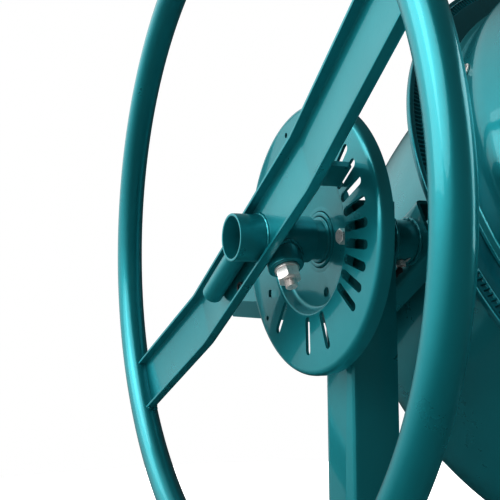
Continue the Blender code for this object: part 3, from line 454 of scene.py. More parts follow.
def make_handwheel():
    low, high = span("handwheel_rim", TILTED)
    rim_x = (low.x + high.x) / 2.0
    tube = [(rim_x + RIM_TUBE * math.sin(a), RIM_RADIUS + RIM_TUBE * math.cos(a)) for a in turns(28)]
    bm = bmesh.new()
    add_turned(bm, tube, "X", steps=176)
    piece("rim_skin", bm, "handwheel", ["handwheel_rim"])

    low, high = span("handwheel_spoke", TILTED)
    tip_at_rim = low.x
    tip_at_hub = high.x - SPOKE_FLANGE
    web_x = high.x
    outline = channel_outline(SPOKE_WIDTH, SPOKE_FLANGE, SPOKE_SHEET, 3.4)
    route = fillet([(-SPOKE_REACH, tip_at_rim), (-SPOKE_BEND_DOWN, tip_at_hub),
                    (SPOKE_BEND_UP, tip_at_hub), (SPOKE_REACH, tip_at_rim)], [0, 60, 60, 0], 6)
    bm = bmesh.new()
    add_loft(bm, [[Vector((tip + SPOKE_FLANGE - h, a, along)) for a, h in outline] for along, tip in route])
    spoke = piece("spoke_skin", bm, "handwheel", ["handwheel_spoke"])
    carve(spoke, TILTED, lambda bm: add_rod(bm, "X", web_x - 20, web_x + 20, PIPE_RADIUS + 0.3))
    make_spoke_welds(rim_x, tip_at_rim, web_x)
    make_hub()

    low, high = span("spoke_stub", TILTED)
    middle = (low + high) / 2.0
    bm = bmesh.new()
    add_rod(bm, "Z", low.z, high.z, 9.0, (middle.x, middle.y, 0), 56, 1.0)
    piece("stub_skin", bm, "handwheel", ["spoke_stub"])

    # Small spring clip on the face of the spoke
    face_x = web_x - SPOKE_SHEET - 2.2
    sweep = [math.radians(-200 + 310 * k / 24) for k in range(25)]
    bm = bmesh.new()
    add_bead(bm, [around("X", face_x, CLIP_RADIUS, angle, CLIP_SPOT) for angle in sweep], 1.1, seed=5)
    piece("spoke_clip", bm, "handwheel", look="black_plastic", sharp=180)

    soften(frame["nodes"]["lock_lug"], 0.8)


def make_spoke_welds(rim_x, tip_at_rim, web_x):
    """Beads where the spoke meets the rim and where the hub pipe goes through it."""
    bm = bmesh.new()
    top = tip_at_rim + SPOKE_FLANGE + 0.4
    foot = tip_at_rim + 1
    half = SPOKE_WIDTH / 2.0
    edge = [(foot, -half), (top, -half), (top, half), (foot, half)]
    for side in (-1, 1):
        path = []
        for (x0, y0), (x1, y1) in zip(edge, edge[1:]):
            steps = max(3, int(math.hypot(x1 - x0, y1 - y0) / 1.6))
            for k in range(steps):
                t = k / steps
                x, y = x0 + (x1 - x0) * t, y0 + (y1 - y0) * t
                reach = math.sqrt(max(0.0, RIM_TUBE ** 2 - (x - rim_x) ** 2))
                inner = math.sqrt((RIM_RADIUS - reach) ** 2 - y ** 2)
                path.append(Vector((x, y, side * (inner - 0.4))))
        add_bead(bm, path, 2.2, seed=3 + side)
    for x in (web_x + 0.3, web_x - SPOKE_SHEET - 0.3):
        add_bead(bm, ring("X", x, PIPE_RADIUS + 0.3, (0, 0, 0), 64), 1.3, closed=True, seed=7)
    piece("handwheel_welds", bm, "handwheel", look="weld", sharp=180)


def make_hub():
    low, high = span("hub_pipe", TILTED)
    bolt_x = bolt_place()
    spot = (bolt_x, 0, 0)
    bm = bmesh.new()
    add_tube(bm, "X", low.x, high.x, PIPE_RADIUS, PIPE_BORE, steps=96, edge=0.7)
    pipe = piece("hub_pipe_skin", bm, "handwheel", ["hub_pipe"])
    carve(pipe, TILTED, lambda bm: add_rod(bm, "Y", -50, 50, BOLT_RADIUS + 0.5, spot))

    # Round boss that spaces the nut off the pipe
    bm = bmesh.new()
    add_tube(bm, "Y", -28.0, -6.0, BOSS_RADIUS, BOLT_RADIUS + 0.5, spot, 72, 0.8)
    saddle = piece("saddle_skin", bm, "handwheel", ["hub_saddle"])
    carve(saddle, TILTED, lambda bm: add_rod(bm, "X", bolt_x - 40, bolt_x + 40, PIPE_RADIUS - 0.6))
    path = []
    for angle in turns(64):
        x = bolt_x + (BOSS_RADIUS + 0.4) * math.cos(angle)
        z = (BOSS_RADIUS + 0.4) * math.sin(angle)
        path.append(Vector((x, -math.sqrt(PIPE_RADIUS ** 2 - z ** 2), z)))
    bm = bmesh.new()
    add_bead(bm, path, 1.5, closed=True, seed=11)
    piece("saddle_weld", bm, "handwheel", look="weld", sharp=180)

    # M10 bolt with its domed head at the back, washer and nut at the front
    bm = bmesh.new()
    add_rod(bm, "Y", -28.5, 20.0, BOLT_RADIUS - 0.1, spot, 36, 0.1)
    add_thread(bm, "Y", -28.0, -46.0, BOLT_RADIUS, 1.5, spot)
    back = span("hub_bolt", TILTED)[1].y
    head = [(19.4, 0.4), (19.4, 10.0), (back - 4.4, 10.0), (back - 1.4, 7.5), (back, 3.0), (back, 0.4)]
    dome = fillet(head, [0, 0.4, 2.0, 3.0, 2.0, 0], 4)
    add_loft(bm, [ring("Y", along, radius, spot, 40) for along, radius in dome])
    piece("hub_bolt_skin", bm, "handwheel", ["hub_bolt"], look="zinc")
    bm = bmesh.new()
    add_head(bm, "Y", -28.3, -30.4, -39.6, 10.0, 5.3, 17.0, spot, 56)
    piece("hub_nut_skin", bm, "handwheel", ["hub_nut"], look="zinc")


# ---------------- locking disc and pivot

SLOT_PITCH = 10.3
SLOT_AT_REST = 36.0
SLOT_STEPS = (-1, 0, 1, 2, 3, 4, 5, 6, 7, 10, 12, 15.5)
SLOT_INNER = 63.0
SLOT_OUTER = 94.0
SLOT_WIDTH = 7.2
DISC_SHEET = 2.5
DISC_DEPTH = 12.5           # of the turned rim
DISH_DEPTH = 13.0           # of the dish at the sleeve
DISH_EDGE = 10.0            # of the dish at the foot of its wall: its floor slopes
DISC_BOLT_STACK = 9.0       # washers and head of the CAD bolt, in front of the CAD floor
DISC_BOLT_RAISED = 2.0      # the sloping floor lifts the heads by this
DISC_BOLT_ACROSS = 11.0
DISC_BOLT_HEAD = 4.8
SLEEVE_RADIUS = 23.0
SLEEVE_BORE = 19.4
SLEEVE_ROOM = SLEEVE_RADIUS + 0.3
TRAVEL_SLOT = (21.0, 11.0, 5.4)         # length, width and corner radius
TRAVEL_SLOT_MIDDLE = 4.9                # from the hub bolt at rest


def elevation(angle, radius):
    """(Y, Z) of a point at an elevation above the horizontal on the front side."""
    return -radius * math.cos(math.radians(angle)), radius * math.sin(math.radians(angle))


def add_slot(bm, face_x, angle):
    """Cutter for one radial slot with round ends."""
    y, z = elevation(angle, 1.0)
    along = Vector((0, y, z))
    across = Vector((0, -z, y))
    half = SLOT_WIDTH / 2.0
    outline = []
    for centre, start in ((SLOT_OUTER - half, -90), (SLOT_INNER + half, 90)):
        for k in range(9):
            turn = math.radians(start + 180 * k / 8)
            point = along * (centre + half * math.cos(turn)) + across * (half * math.sin(turn))
            outline.append((point.y, TILT_HEIGHT + point.z))
    add_plate(bm, outline, face_x - 4, face_x + 8)


def make_disc():
    low, high = span("locking_disc")
    face = low.x
    rim = (high.z - low.z) / 2.0
    t, depth = DISC_SHEET, DISH_DEPTH
    back = DISH_EDGE + t + 0.3
    points = [(depth, 23.4), (depth, 27.0), (DISH_EDGE, 57.0), (0, 61.0), (0, rim), (DISC_DEPTH, rim),
              (DISC_DEPTH, rim - t), (t, rim - t), (t, 62.0), (back, 58.0), (depth + t, 28.0),
              (depth + t, 23.4)]
    radii = [0.4, 4.0, 5.0, 3.0, 5.0, 0.8, 0.8, 2.5, 3.0, 4.0, 3.0, 0.4]
    profile = [(face + a, r) for a, r in fillet(points, radii, 5)]
    bm = bmesh.new()
    add_turned(bm, profile, "X", (0, 0, TILT_HEIGHT), 144)
    disc = piece("disc_skin", bm, "stand", ["locking_disc"])

    def openings(bm):
        for step in SLOT_STEPS:
            add_slot(bm, face, SLOT_AT_REST - step * SLOT_PITCH)
        for angle, radius, hole in ((111.0, 97.0, 2.2), (223.0, 97.0, 2.2), (-72.0, 45.0, 4.0)):
            y, z = elevation(angle, radius)
            add_rod(bm, "X", face - 5, face + 20, hole, (0, y, TILT_HEIGHT + z), 24, 0.01)
        y, z = elevation(217.0, 74.0)
        window = [(y + a, TILT_HEIGHT + z + b) for a, b in rounded_box(19.0, 6.4, 1.6)]
        add_plate(bm, window, face - 5, face + 8)

    carve(disc, UPRIGHT, openings)
    soften(disc, 0.35, 2, 50)

    for node in ("front_disc_bolt", "rear_disc_bolt"):
        low, high = span(node)
        spot = (0, (low.y + high.y) / 2.0, (low.z + high.z) / 2.0)
        floor = low.x + DISC_BOLT_STACK - DISC_BOLT_RAISED
        middle = floor - 2.6
        seat = middle - 1.2
        bm = bmesh.new()
        add_tube(bm, "X", middle, floor, 6.4, 4.2, spot, 48, 0.3)
        add_head(bm, "X", middle, seat, seat - DISC_BOLT_HEAD, 5.6, 4.2, DISC_BOLT_ACROSS, spot, 48)
        add_thread(bm, "X", floor - 1.0, high.x, 4.0, 1.25, spot)
        piece(f"{node}_skin", bm, "stand", [node], look="zinc")


def make_bearings():
    """The two sleeves of the stand and the two tubes of the yoke that turn in them."""
    for node in ("left_bearing_sleeve", "right_bearing_sleeve"):
        low, high = span(node)
        bm = bmesh.new()
        add_tube(bm, "X", low.x, high.x, SLEEVE_RADIUS, SLEEVE_BORE, (0, 0, TILT_HEIGHT), 80, 0.8)
        piece(f"{node}_skin", bm, "stand", [node])

    low, high = span("right_pivot_tube", TILTED)
    bm = bmesh.new()
    add_tube(bm, "X", low.x, high.x, PIPE_RADIUS, 13.0, steps=80, edge=0.8)
    piece("right_pivot_tube_skin", bm, "yoke", ["right_pivot_tube"])

    low, high = span("left_pivot_tube", TILTED)
    step_x = -407.0             # left of this the tube is thin, to go inside the hub pipe
    profile = [(low.x, 11.0), (low.x, 16.2), (step_x, 16.2), (step_x, PIPE_RADIUS), (high.x, PIPE_RADIUS),
               (high.x, 11.0)]
    bm = bmesh.new()
    add_turned(bm, fillet(profile, [0.5, 0.8, 0.3, 0.8, 0.5, 0.5], 3), "X", steps=80)
    tube = piece("left_pivot_skin", bm, "yoke", ["left_pivot_tube"])
    middle = bolt_place() + TRAVEL_SLOT_MIDDLE

    def travel_slot(bm):
        window = rounded_box(*TRAVEL_SLOT)
        add_loft(bm, [[Vector((middle + a, y, b)) for a, b in window] for y in (-40, 40)])

    carve(tube, TILTED, travel_slot)


# ---------------- stand

def stand_bar(node, outline, axis):
    """Straight bar along one upright axis, between the ends of its CAD node."""
    low, high = span(node)
    middle = (low + high) / 2.0
    index = "XYZ".index(axis)
    others = [k for k in range(3) if k != index]

    def to_point(along, a, b):
        point = [0.0, 0.0, 0.0]
        point[index] = along
        point[others[0]] = middle[others[0]] + a
        point[others[1]] = middle[others[1]] + b
        return Vector(point)

    bm = bmesh.new()
    add_bar(bm, outline, low[index], high[index], to_point, 0.8)
    piece(f"{node}_skin", bm, "stand", [node])


POST_SHEET = 3.0
POST_WIDTH = 45.0
POST_LEAN = 22.0            # how far in front of its top a post would meet the ground
BRACE_BOLTS = (-14.0, 14.0)
BRACE_BOLT_DROP = 11.0      # below the top of the brace
AXLE_RADIUS = 9.0


def make_posts():
    for node, side in (("left_post", -1), ("right_post", 1)):
        low, high = span(node)
        outer, inner = (low.x, high.x) if side < 0 else (high.x, low.x)
        depth = abs(outer - inner)
        outline = channel_outline(POST_WIDTH, depth, POST_SHEET, 5.0)
        head = high.y - POST_WIDTH / 2.0
        lean = POST_LEAN * (1.0 - low.z / high.z)
        bm = bmesh.new()
        sections = []
        for z, shift in ((low.z, lean), (high.z, 0.0)):
            sections.append([Vector((outer - side * h, head - shift + a, z)) for a, h in outline])
        add_loft(bm, sections)
        post = piece(f"{node}_skin", bm, "stand", [node])

        start, end = low.x - 10, high.x + 10
        carve(post, UPRIGHT, lambda bm: add_rod(bm, "X", start, end, SLEEVE_ROOM, (0, 0, TILT_HEIGHT), 64))
        bm = bmesh.new()
        for x in (outer + side * 0.4, inner - side * 1.0):
            add_bead(bm, ring("X", x, 23.9, (0, 0, TILT_HEIGHT), 72), 1.9, closed=True, seed=21)
        piece(f"{node}_sleeve_welds", bm, "stand", look="weld", sharp=180)


def make_straps():
    """The two bent A braces, with round edges, and the bolts that hold their tops."""
    for node, post, side in (("left_brace", "left_post", -1), ("right_brace", "right_post", 1)):
        soften(frame["nodes"][node], 1.2, 3, 35)
        low, high = span(node)
        inner = high.x if side < 0 else low.x
        post_high = span(post)[1]
        height = high.z - BRACE_BOLT_DROP
        middle = post_high.y - POST_WIDTH / 2.0 - POST_LEAN * (1.0 - height / post_high.z)
        bm = bmesh.new()
        for offset in BRACE_BOLTS:
            spot = (0, middle + offset, height)
            add_head(bm, "X", inner, inner - side * 1.4, inner - side * 6.9, 8.2, 4.2, 13.0, spot, 40)
        piece(f"{node}_bolts", bm, "stand", look="zinc")


def make_stand():
    make_posts()
    make_straps()
    stand_bar("left_foot_beam", rounded_box(41.0, 40.0, 5.0), "Y")
    stand_bar("base_crossbeam", rounded_box(43.0, 34.0, 5.0), "X")
    for node in ("front_foot_pad", "rear_foot_pad"):
        soften(frame["nodes"][node], 2.0, 3, 40)
    for node in ("lift_handle", "disc_bracket", "motor_shelf"):
        soften(frame["nodes"][node], 0.9, 3, 25)
    make_axle()

    # Beads round both ends of the crossbeam
    low, high = span("base_crossbeam")
    middle = (low + high) / 2.0
    w, h = 22.2, 17.6
    corners = [(-w, -h), (w, -h), (w, h), (-w, h), (-w, -h)]
    bm = bmesh.new()
    for x in (low.x + 0.5, high.x - 0.5):
        path = []
        for (y0, z0), (y1, z1) in zip(corners, corners[1:]):
            for k in range(22):
                t = k / 22
                path.append(Vector((x, middle.y + y0 + (y1 - y0) * t, middle.z + z0 + (z1 - z0) * t)))
        add_bead(bm, path, 1.9, closed=True, seed=41)
    piece("crossbeam_welds", bm, "stand", look="weld", sharp=180)


def make_axle():
    """Axle tube, and the axle with a washer and a split pin at each end."""
    low, high = span("axle_tube")
    middle = (low + high) / 2.0
    spot = (middle.x, 0, middle.z)
    bm = bmesh.new()
    add_tube(bm, "Y", low.y, high.y, 15.5, 9.3, spot, 64, 0.7)
    piece("axle_tube_skin", bm, "stand", ["axle_tube"])
    low, high = span("wheel_axle")
    bm = bmesh.new()
    add_rod(bm, "Y", low.y, high.y, AXLE_RADIUS, spot, 48, 1.2)
    for side, end in ((-1, low.y), (1, high.y)):
        pin_y = end - side * 5.0
        add_tube(bm, "Y", end - side * 9.6, end - side * 7.6, 15.0, AXLE_RADIUS + 0.2, spot, 48, 0.4)
        add_rod(bm, "Z", middle.z - 12.5, middle.z + 12.0, 1.5, (middle.x, pin_y, 0), 16, 0.4)
        loop = [Vector((middle.x + 3.4 * math.cos(a), pin_y, middle.z + 15.0 + 3.4 * math.sin(a)))
                for a in turns(20)]
        add_bead(bm, loop, 0.9, closed=True, seed=31)
    piece("wheel_axle_skin", bm, "stand", ["wheel_axle"], look="zinc")


TREAD_BLOCKS = 44
TREAD_ROWS = ((-9.5, 0.0), (0.0, 0.5), (9.5, 0.0))      # place across the tyre, shift in blocks
WHEEL_HOLES = 6
WHEEL_HOLE_RING = 44.0


def make_road_wheels():
    for name in ("front", "rear"):
        body = f"{name}_wheel"
        low, high = span(f"{name}_wheel_tyre")
        centre = (low + high) / 2.0
        outer = (high.z - low.z) / 2.0
        half = (high.y - low.y) / 2.0
        bm = bmesh.new()
        side = [(16, 76), (half, 84), (half, 102), (14, outer - 2.5)]
        profile = [(-y, r) for y, r in side] + side[::-1]
        add_turned(bm, fillet(profile, [1.0, 7.0, 9.0, 7.0, 7.0, 9.0, 7.0, 1.0], 5), "Y", centre, 112)
        for row, shift in TREAD_ROWS:
            for k in range(TREAD_BLOCKS):
                angle = 2.0 * math.pi * (k + shift) / TREAD_BLOCKS
                rings = []
                for radius, grow in ((outer - 4.0, 1.0), (outer, 0.86)):
                    outline = rounded_box(8.2 * grow, 11.5 * grow, 1.2, 2)
                    rings.append([around("Y", row + a, radius, math.pi / 2.0 - angle - b / radius, centre)
                                  for a, b in outline])
                add_loft(bm, rings)
        piece(f"{name}_tyre_skin", bm, body, [f"{name}_wheel_tyre"], look="rubber")

        # Pressed steel rim: hub, web, well and turned-up edge
        side = [(25, 9.6), (25, 19), (3.5, 19), (3, 66), (16, 71.5), (18.0, 79.0), (16.0, 79.6), (14.5, 75.0)]
        radii = [0.8, 1.5, 4.0, 8.0, 3.0, 0.8, 0.8, 2.0]
        rim = [(-y, r) for y, r in side] + side[::-1]
        bm = bmesh.new()
        add_turned(bm, fillet(rim, radii + radii[::-1], 4), "Y", centre, 96)
        wheel = piece(f"{name}_rim_skin", bm, body, [f"{name}_wheel_rim"], look="bright_steel")

        def lightening_holes(bm, centre=centre):
            for angle in turns(WHEEL_HOLES):
                spot = around("Y", 0, WHEEL_HOLE_RING, angle, centre)
                add_rod(bm, "Y", -14.0, 14.0, 8.5, spot, 32, 0.01)

        carve(wheel, UPRIGHT, lightening_holes)


# ---------------- yoke

ARM_BEND = -165.0           # below this the arms lean in towards the bearing
ARM_SHEET = 3.0
ARM_FLANGE = 26.0
ARM_HALF = 24.0
ARM_FOLD = 4.5
ARM_HOLE = 13.0


def make_yoke():
    outline = channel_outline(2 * ARM_HALF, ARM_FLANGE, ARM_SHEET, ARM_FOLD)
    low, high = span("yoke_crossbar", TILTED)
    crossbar_half = high.x
    for node, side in (("left_yoke_arm", -1), ("right_yoke_arm", 1)):
        make_arm(node, side, outline, crossbar_half)

    bar = channel_outline(2 * ARM_HALF, high.z - low.z, ARM_SHEET, ARM_FOLD)
    bm = bmesh.new()
    add_bar(bm, bar, low.x, high.x, lambda x, a, h: Vector((x, a, high.z - h)), 0.6)
    crossbar = piece("crossbar_skin", bm, "yoke", ["yoke_crossbar"])
    top = high.z
    carve(crossbar, TILTED, lambda bm: add_rod(bm, "Z", top - 12, top + 12, 17.0))

    low, high = span("bearing_housing", TILTED)
    profile = [(low.z, 24.3), (low.z, 29.0), (high.z, 29.0), (high.z, 24.3)]
    bm = bmesh.new()
    add_turned(bm, fillet(profile, [0.5, 0.8, 1.5, 0.8], 3), "Z", steps=72)
    add_bead(bm, ring("Z", low.z + 0.6, 29.6, (0, 0, 0), 64), 2.0, closed=True, seed=61)
    piece("housing_skin", bm, "yoke", ["bearing_housing"])
    make_pivot_clip()


def make_arm(node, side, outline, crossbar_half):
    low, high = span(node, TILTED)
    outer = low.x if side < 0 else high.x
    foot = side * crossbar_half
    route = fillet([(low.z, foot), (ARM_BEND, outer), (high.z, outer)], [0, 40, 0], 6)
    bm = bmesh.new()
    add_loft(bm, [[Vector((x - side * h, a, z)) for a, h in outline] for z, x in route])
    arm = piece(f"{node}_skin", bm, "yoke", [node])
    start, end = sorted((outer, outer + side * 8))

    def pinion_room(bm):
        box = [(-40, -54), (40, -54), (40, 60), (-40, 60)]
        add_plate(bm, box, outer - ARM_FLANGE - 5, outer - ARM_SHEET - 0.001)

    carve(arm, TILTED, lambda bm: add_rod(bm, "X", start - 8, end + 1, ARM_HOLE))
    if side > 0:
        carve(arm, TILTED, pinion_room)
    bm = bmesh.new()
    add_bead(bm, ring("X", outer + side * 0.6, PIPE_RADIUS + 0.9, (0, 0, 0), 64), 2.0, closed=True, seed=51)
    seam = [Vector((foot - side * (2 + 22 * k / 12), 0.3 - ARM_HALF, low.z - 0.2)) for k in range(13)]
    add_bead(bm, seam, 1.9, seed=52)
    add_bead(bm, [p + Vector((0, 2 * ARM_HALF - 0.6, 0)) for p in seam], 1.9, seed=53)
    piece(f"{node}_welds", bm, "yoke", look="weld", sharp=180)


def make_pivot_clip():
    """Split clip under the left pivot tube, and the dark stop pin that it holds."""
    left = span("left_yoke_arm", TILTED)[0].x
    spot = Vector((left - 14.0, -PIPE_RADIUS - 3.4, -2.0))
    coil = []
    for k in range(61):
        angle = 2.0 * math.pi * 2.5 * k / 60
        coil.append(spot + Vector((3.2 * math.cos(angle), -1.4 + 4.0 * k / 60, 3.2 * math.sin(angle))))
    bm = bmesh.new()
    add_bead(bm, coil, 0.9, seed=71)
    for sign in (-1, 1):
        leg = [spot + Vector((1.2 * k, 0.6 * k, sign * (2.0 + 0.4 * k))) for k in range(8)]
        add_bead(bm, leg, 0.9, seed=72)
    piece("pivot_clip", bm, "yoke", look="zinc", sharp=180)
    start = spot + Vector((1.0, -2.0, -2.0))
    end = spot + Vector((-24.0, -20.0, -15.0))
    bm = bmesh.new()
    add_bead(bm, [start + (end - start) * k / 16 for k in range(17)], 2.6, seed=73)
    piece("stop_pin", bm, "yoke", look="black_plastic", sharp=180)


# ---------------- drum

BOWL_RADIUS = 284.0
BOWL_SQUARENESS = 5.0
DRUM_SHEET = 3.0
CONE_RADIUS = 288.0
CONE_SHOULDER = 100.0
MOUTH_RADIUS = 195.0
DRUM_STEPS = 176
SHAFT_RADIUS = 15.0
SHAFT_PLATE = 64.0          # the flange under the drum's bottom
SHAFT_BOLTS = 4
BLADE_BOLT_AZIMUTH = 26.6
BLADE_BOLT_HEIGHT = 82.0


def bowl_curve(top, depth, radius, steps=26):
    """Wall of the lower drum from its rim down to the flat bottom, as (height, radius)."""
    points = [(top, radius)]
    for step in range(1, steps):
        reach = math.sin(step / steps * math.pi / 2.0) ** 0.45
        inward = (1.0 - reach ** BOWL_SQUARENESS) ** (1.0 / BOWL_SQUARENESS)
        points.append((top - depth * reach, radius * inward))
    return points


def make_drum():
    low, high = span("drum_bowl", TILTED)
    bottom, flange_top = low.z, high.z
    flange = (high.x - low.x) / 2.0
    top = flange_top - DRUM_SHEET
    outer = bowl_curve(top, top - bottom, BOWL_RADIUS)
    inner = bowl_curve(top, top - bottom - DRUM_SHEET, BOWL_RADIUS - DRUM_SHEET)
    floor = bottom + DRUM_SHEET
    wall = BOWL_RADIUS
    lining = wall - DRUM_SHEET
    profile = [(top, flange), (top, wall + 3.0), (top - 0.8, wall + 0.8), (top - 3.5, wall)]
    profile += outer[1:] + [(bottom, 60.0), (bottom, 16.0), (floor, 16.0), (floor, 60.0)]
    profile += inner[:0:-1] + [(top, lining), (flange_top, lining + 1.5), (flange_top, flange)]
    bm = bmesh.new()
    add_turned(bm, profile, "Z", steps=DRUM_STEPS)
    piece("bowl_skin", bm, "drum", ["drum_bowl"])

    low, high = span("drum_cone", TILTED)
    base, mouth = low.z, high.z - 3.0
    sheet = DRUM_SHEET
    cone = [(base, 294.0), (base, CONE_RADIUS - sheet), (CONE_SHOULDER, CONE_RADIUS - sheet - 0.5),
            (mouth - 6, MOUTH_RADIUS - sheet), (mouth + 3, MOUTH_RADIUS + 1), (mouth + 2, MOUTH_RADIUS + 7.5),
            (mouth - 7, MOUTH_RADIUS + 7.5), (mouth - 8, MOUTH_RADIUS + 2), (CONE_SHOULDER, CONE_RADIUS),
            (base + 6, CONE_RADIUS), (base + 3, 294.0)]
    radii = [0.3, 1.0, 40.0, 12.0, 3.5, 3.5, 3.0, 2.0, 44.0, 3.0, 1.0]
    bm = bmesh.new()
    add_turned(bm, fillet(cone, radii, 8), "Z", steps=DRUM_STEPS)
    piece("cone_skin", bm, "drum", ["drum_cone"])

    low, high = span("drum_shaft", TILTED)
    bm = bmesh.new()
    r, plate, under = SHAFT_RADIUS, SHAFT_PLATE, bottom - 8.0
    shaft = [(low.z, 0.5), (low.z, r - 0.8), (low.z + 1.2, r), (under, r), (under, plate - 1),
             (under + 1, plate), (bottom - 0.3, plate), (bottom - 0.3, r), (high.z - 1, r),
             (high.z, r - 1), (high.z, 0.5)]
    add_turned(bm, shaft, "Z", steps=72)
    for angle in turns(SHAFT_BOLTS):
        spot = around("Z", 0, 46.0, angle + math.pi / 4)
        add_hexagon(bm, "Z", under, under - 5.5, 13.0, spot, (False, True))
    piece("shaft_skin", bm, "drum", ["drum_shaft"], look="bright_steel")
    low, high = span("drum_nut", TILTED)
    bm = bmesh.new()
    add_hexagon(bm, "Z", high.z, low.z, 33.0, (0, 0, 0))
    piece("drum_nut_skin", bm, "drum", ["drum_nut"], look="zinc")

    for index in (1, 2):
        soften(frame["nodes"][f"mixing_blade_{index}"], 1.0, 2, 30)
        make_blade_bolt(index)


def radial(azimuth):
    """Outward and sideways directions at an azimuth round the drum, from -X towards +Y."""
    turn = math.radians(azimuth)
    return Vector((-math.cos(turn), math.sin(turn), 0)), Vector((-math.sin(turn), -math.cos(turn), 0))


def make_blade_bolt(index):
    """Radial bolt through the straight band of the cone, head outside."""
    node = f"blade_bolt_{index}"
    outward, sideways = radial(BLADE_BOLT_AZIMUTH + 180.0 * (index - 1))
    turn = Matrix((sideways, Vector((0, 0, 1)), outward)).transposed().to_4x4()
    place = TILTED @ Matrix.Translation((0, 0, BLADE_BOLT_HEIGHT)) @ turn
    wall = CONE_RADIUS
    bm = bmesh.new()
    add_rod(bm, "Z", wall - 20, wall + 1, 4.0, (0, 0, 0), 28, 0.4)
    add_head(bm, "Z", wall + 0.2, wall + 1.8, wall + 6.6, 8.4, 4.2, 13.0)
    piece(f"{node}_skin", bm, "drum", [node], look="zinc", place=place)


CROWN_TEETH = 132
TEETH_INNER = 298.0
TEETH_OUTER = 315.0
TOOTH_HEIGHT = 9.6
# Depth below the ring and half width of a tooth, from its root to its tip
TOOTH_LEVELS = ((-0.5, 4.3), (4.8, 2.6), (TOOTH_HEIGHT - 0.7, 1.3), (TOOTH_HEIGHT, 0.7))
GEAR_INNER = 287.0
GEAR_OUTER = 328.5
RIB_PITCH = 5.0
RIB_HALF = 1.35


def polar(angle, radius, height):
    """Point of the ring gear: angle 0 is at -X."""
    return Vector((-radius * math.cos(angle), radius * math.sin(angle), height))


def make_ring_gear():
    """Two half rings with crown teeth below and fine ribs in the channel on top."""
    low, high = span("ring_gear_1", TILTED)
    top = high.z
    base = low.z + TOOTH_HEIGHT
    inner, outer = GEAR_INNER, GEAR_OUTER
    gap = 0.15 / outer
    crown = TEETH_OUTER
    channel = [(top, outer - 4.8), (top - 2.6, outer - 5.6), (top - 2.6, crown + 1.5), (top, crown + 0.5)]
    lower = [(base, inner), (base, outer - 9.0), (base + 4.5, outer), (top, outer)]
    outline = fillet(lower + channel + [(top, inner)], [0.3, 2.0, 1.2, 1.6, 0.8, 0.6, 0.6, 0.8, 0.5], 3)
    for index in range(2):
        start = index * math.pi + gap
        end = (index + 1) * math.pi - gap
        bm = bmesh.new()
        stations = [start + (end - start) * k / 132 for k in range(133)]
        add_loft(bm, [[polar(angle, r, h) for h, r in outline] for angle in stations])
        for k in range(CROWN_TEETH // 2):
            middle = (index * CROWN_TEETH // 2 + k + 0.5) * 2.0 * math.pi / CROWN_TEETH
            rings = []
            for depth, half in TOOTH_LEVELS:
                turn = half / 306.0
                ease = 0.6 if depth > 9 else 0.0
                near, far = TEETH_INNER + ease, crown - ease
                rings.append([polar(middle + side * turn, radius, base - depth)
                              for side, radius in ((-1, near), (1, near), (1, far), (-1, far))])
            add_loft(bm, rings)
        ribs = int(math.pi * 320.0 / RIB_PITCH)
        for k in range(ribs):
            middle = start + (end - start) * (k + 0.5) / ribs
            turn = RIB_HALF / 320.0
            add_loft(bm, [[polar(middle + share * turn, radius, top - depth)
                           for share, depth in ((-1, 3.0), (-0.5, 0.6), (0.5, 0.6), (1, 3.0))]
                          for radius in (crown + 0.8, outer - 4.4)])
        piece(f"ring_gear_{index + 1}_skin", bm, "drum", [f"ring_gear_{index + 1}"], look="cast_iron")


# ---------------- drive and housing

def make_drive():
    soften(frame["nodes"]["pinion"], 0.4, 2, 30)
    low, high = span("pinion_shaft", TILTED)
    bm = bmesh.new()
    add_rod(bm, "X", low.x, high.x, 10.0, (0, 0, 0), 56, 1.0)
    piece("pinion_shaft_skin", bm, "drive", ["pinion_shaft"], look="bright_steel")
    for node in ("large_pulley", "motor_pulley", "electric_motor"):
        soften(frame["nodes"][node], 0.6, 2, 30)


COVER_WALL = 3.0
COVER_CORNER = 32.0
COVER_ROUND = 26.0          # radius of the edge round the cover's face
COVER_HOLLOW = 28.0         # how far the hollow's end stays inside the face's outline
LOUVRES = 7
LOUVRE_PITCH = 15.0
LOWEST_LOUVRE = -96.0       # from the middle of the face


def cover_outline(low, high, inset, radius):
    outline = rounded_box(high.y - low.y - 2 * inset, high.z - low.z - 2 * inset, radius, 8)
    middle = (low + high) / 2.0
    return [(middle.y + a, middle.z + b) for a, b in outline]


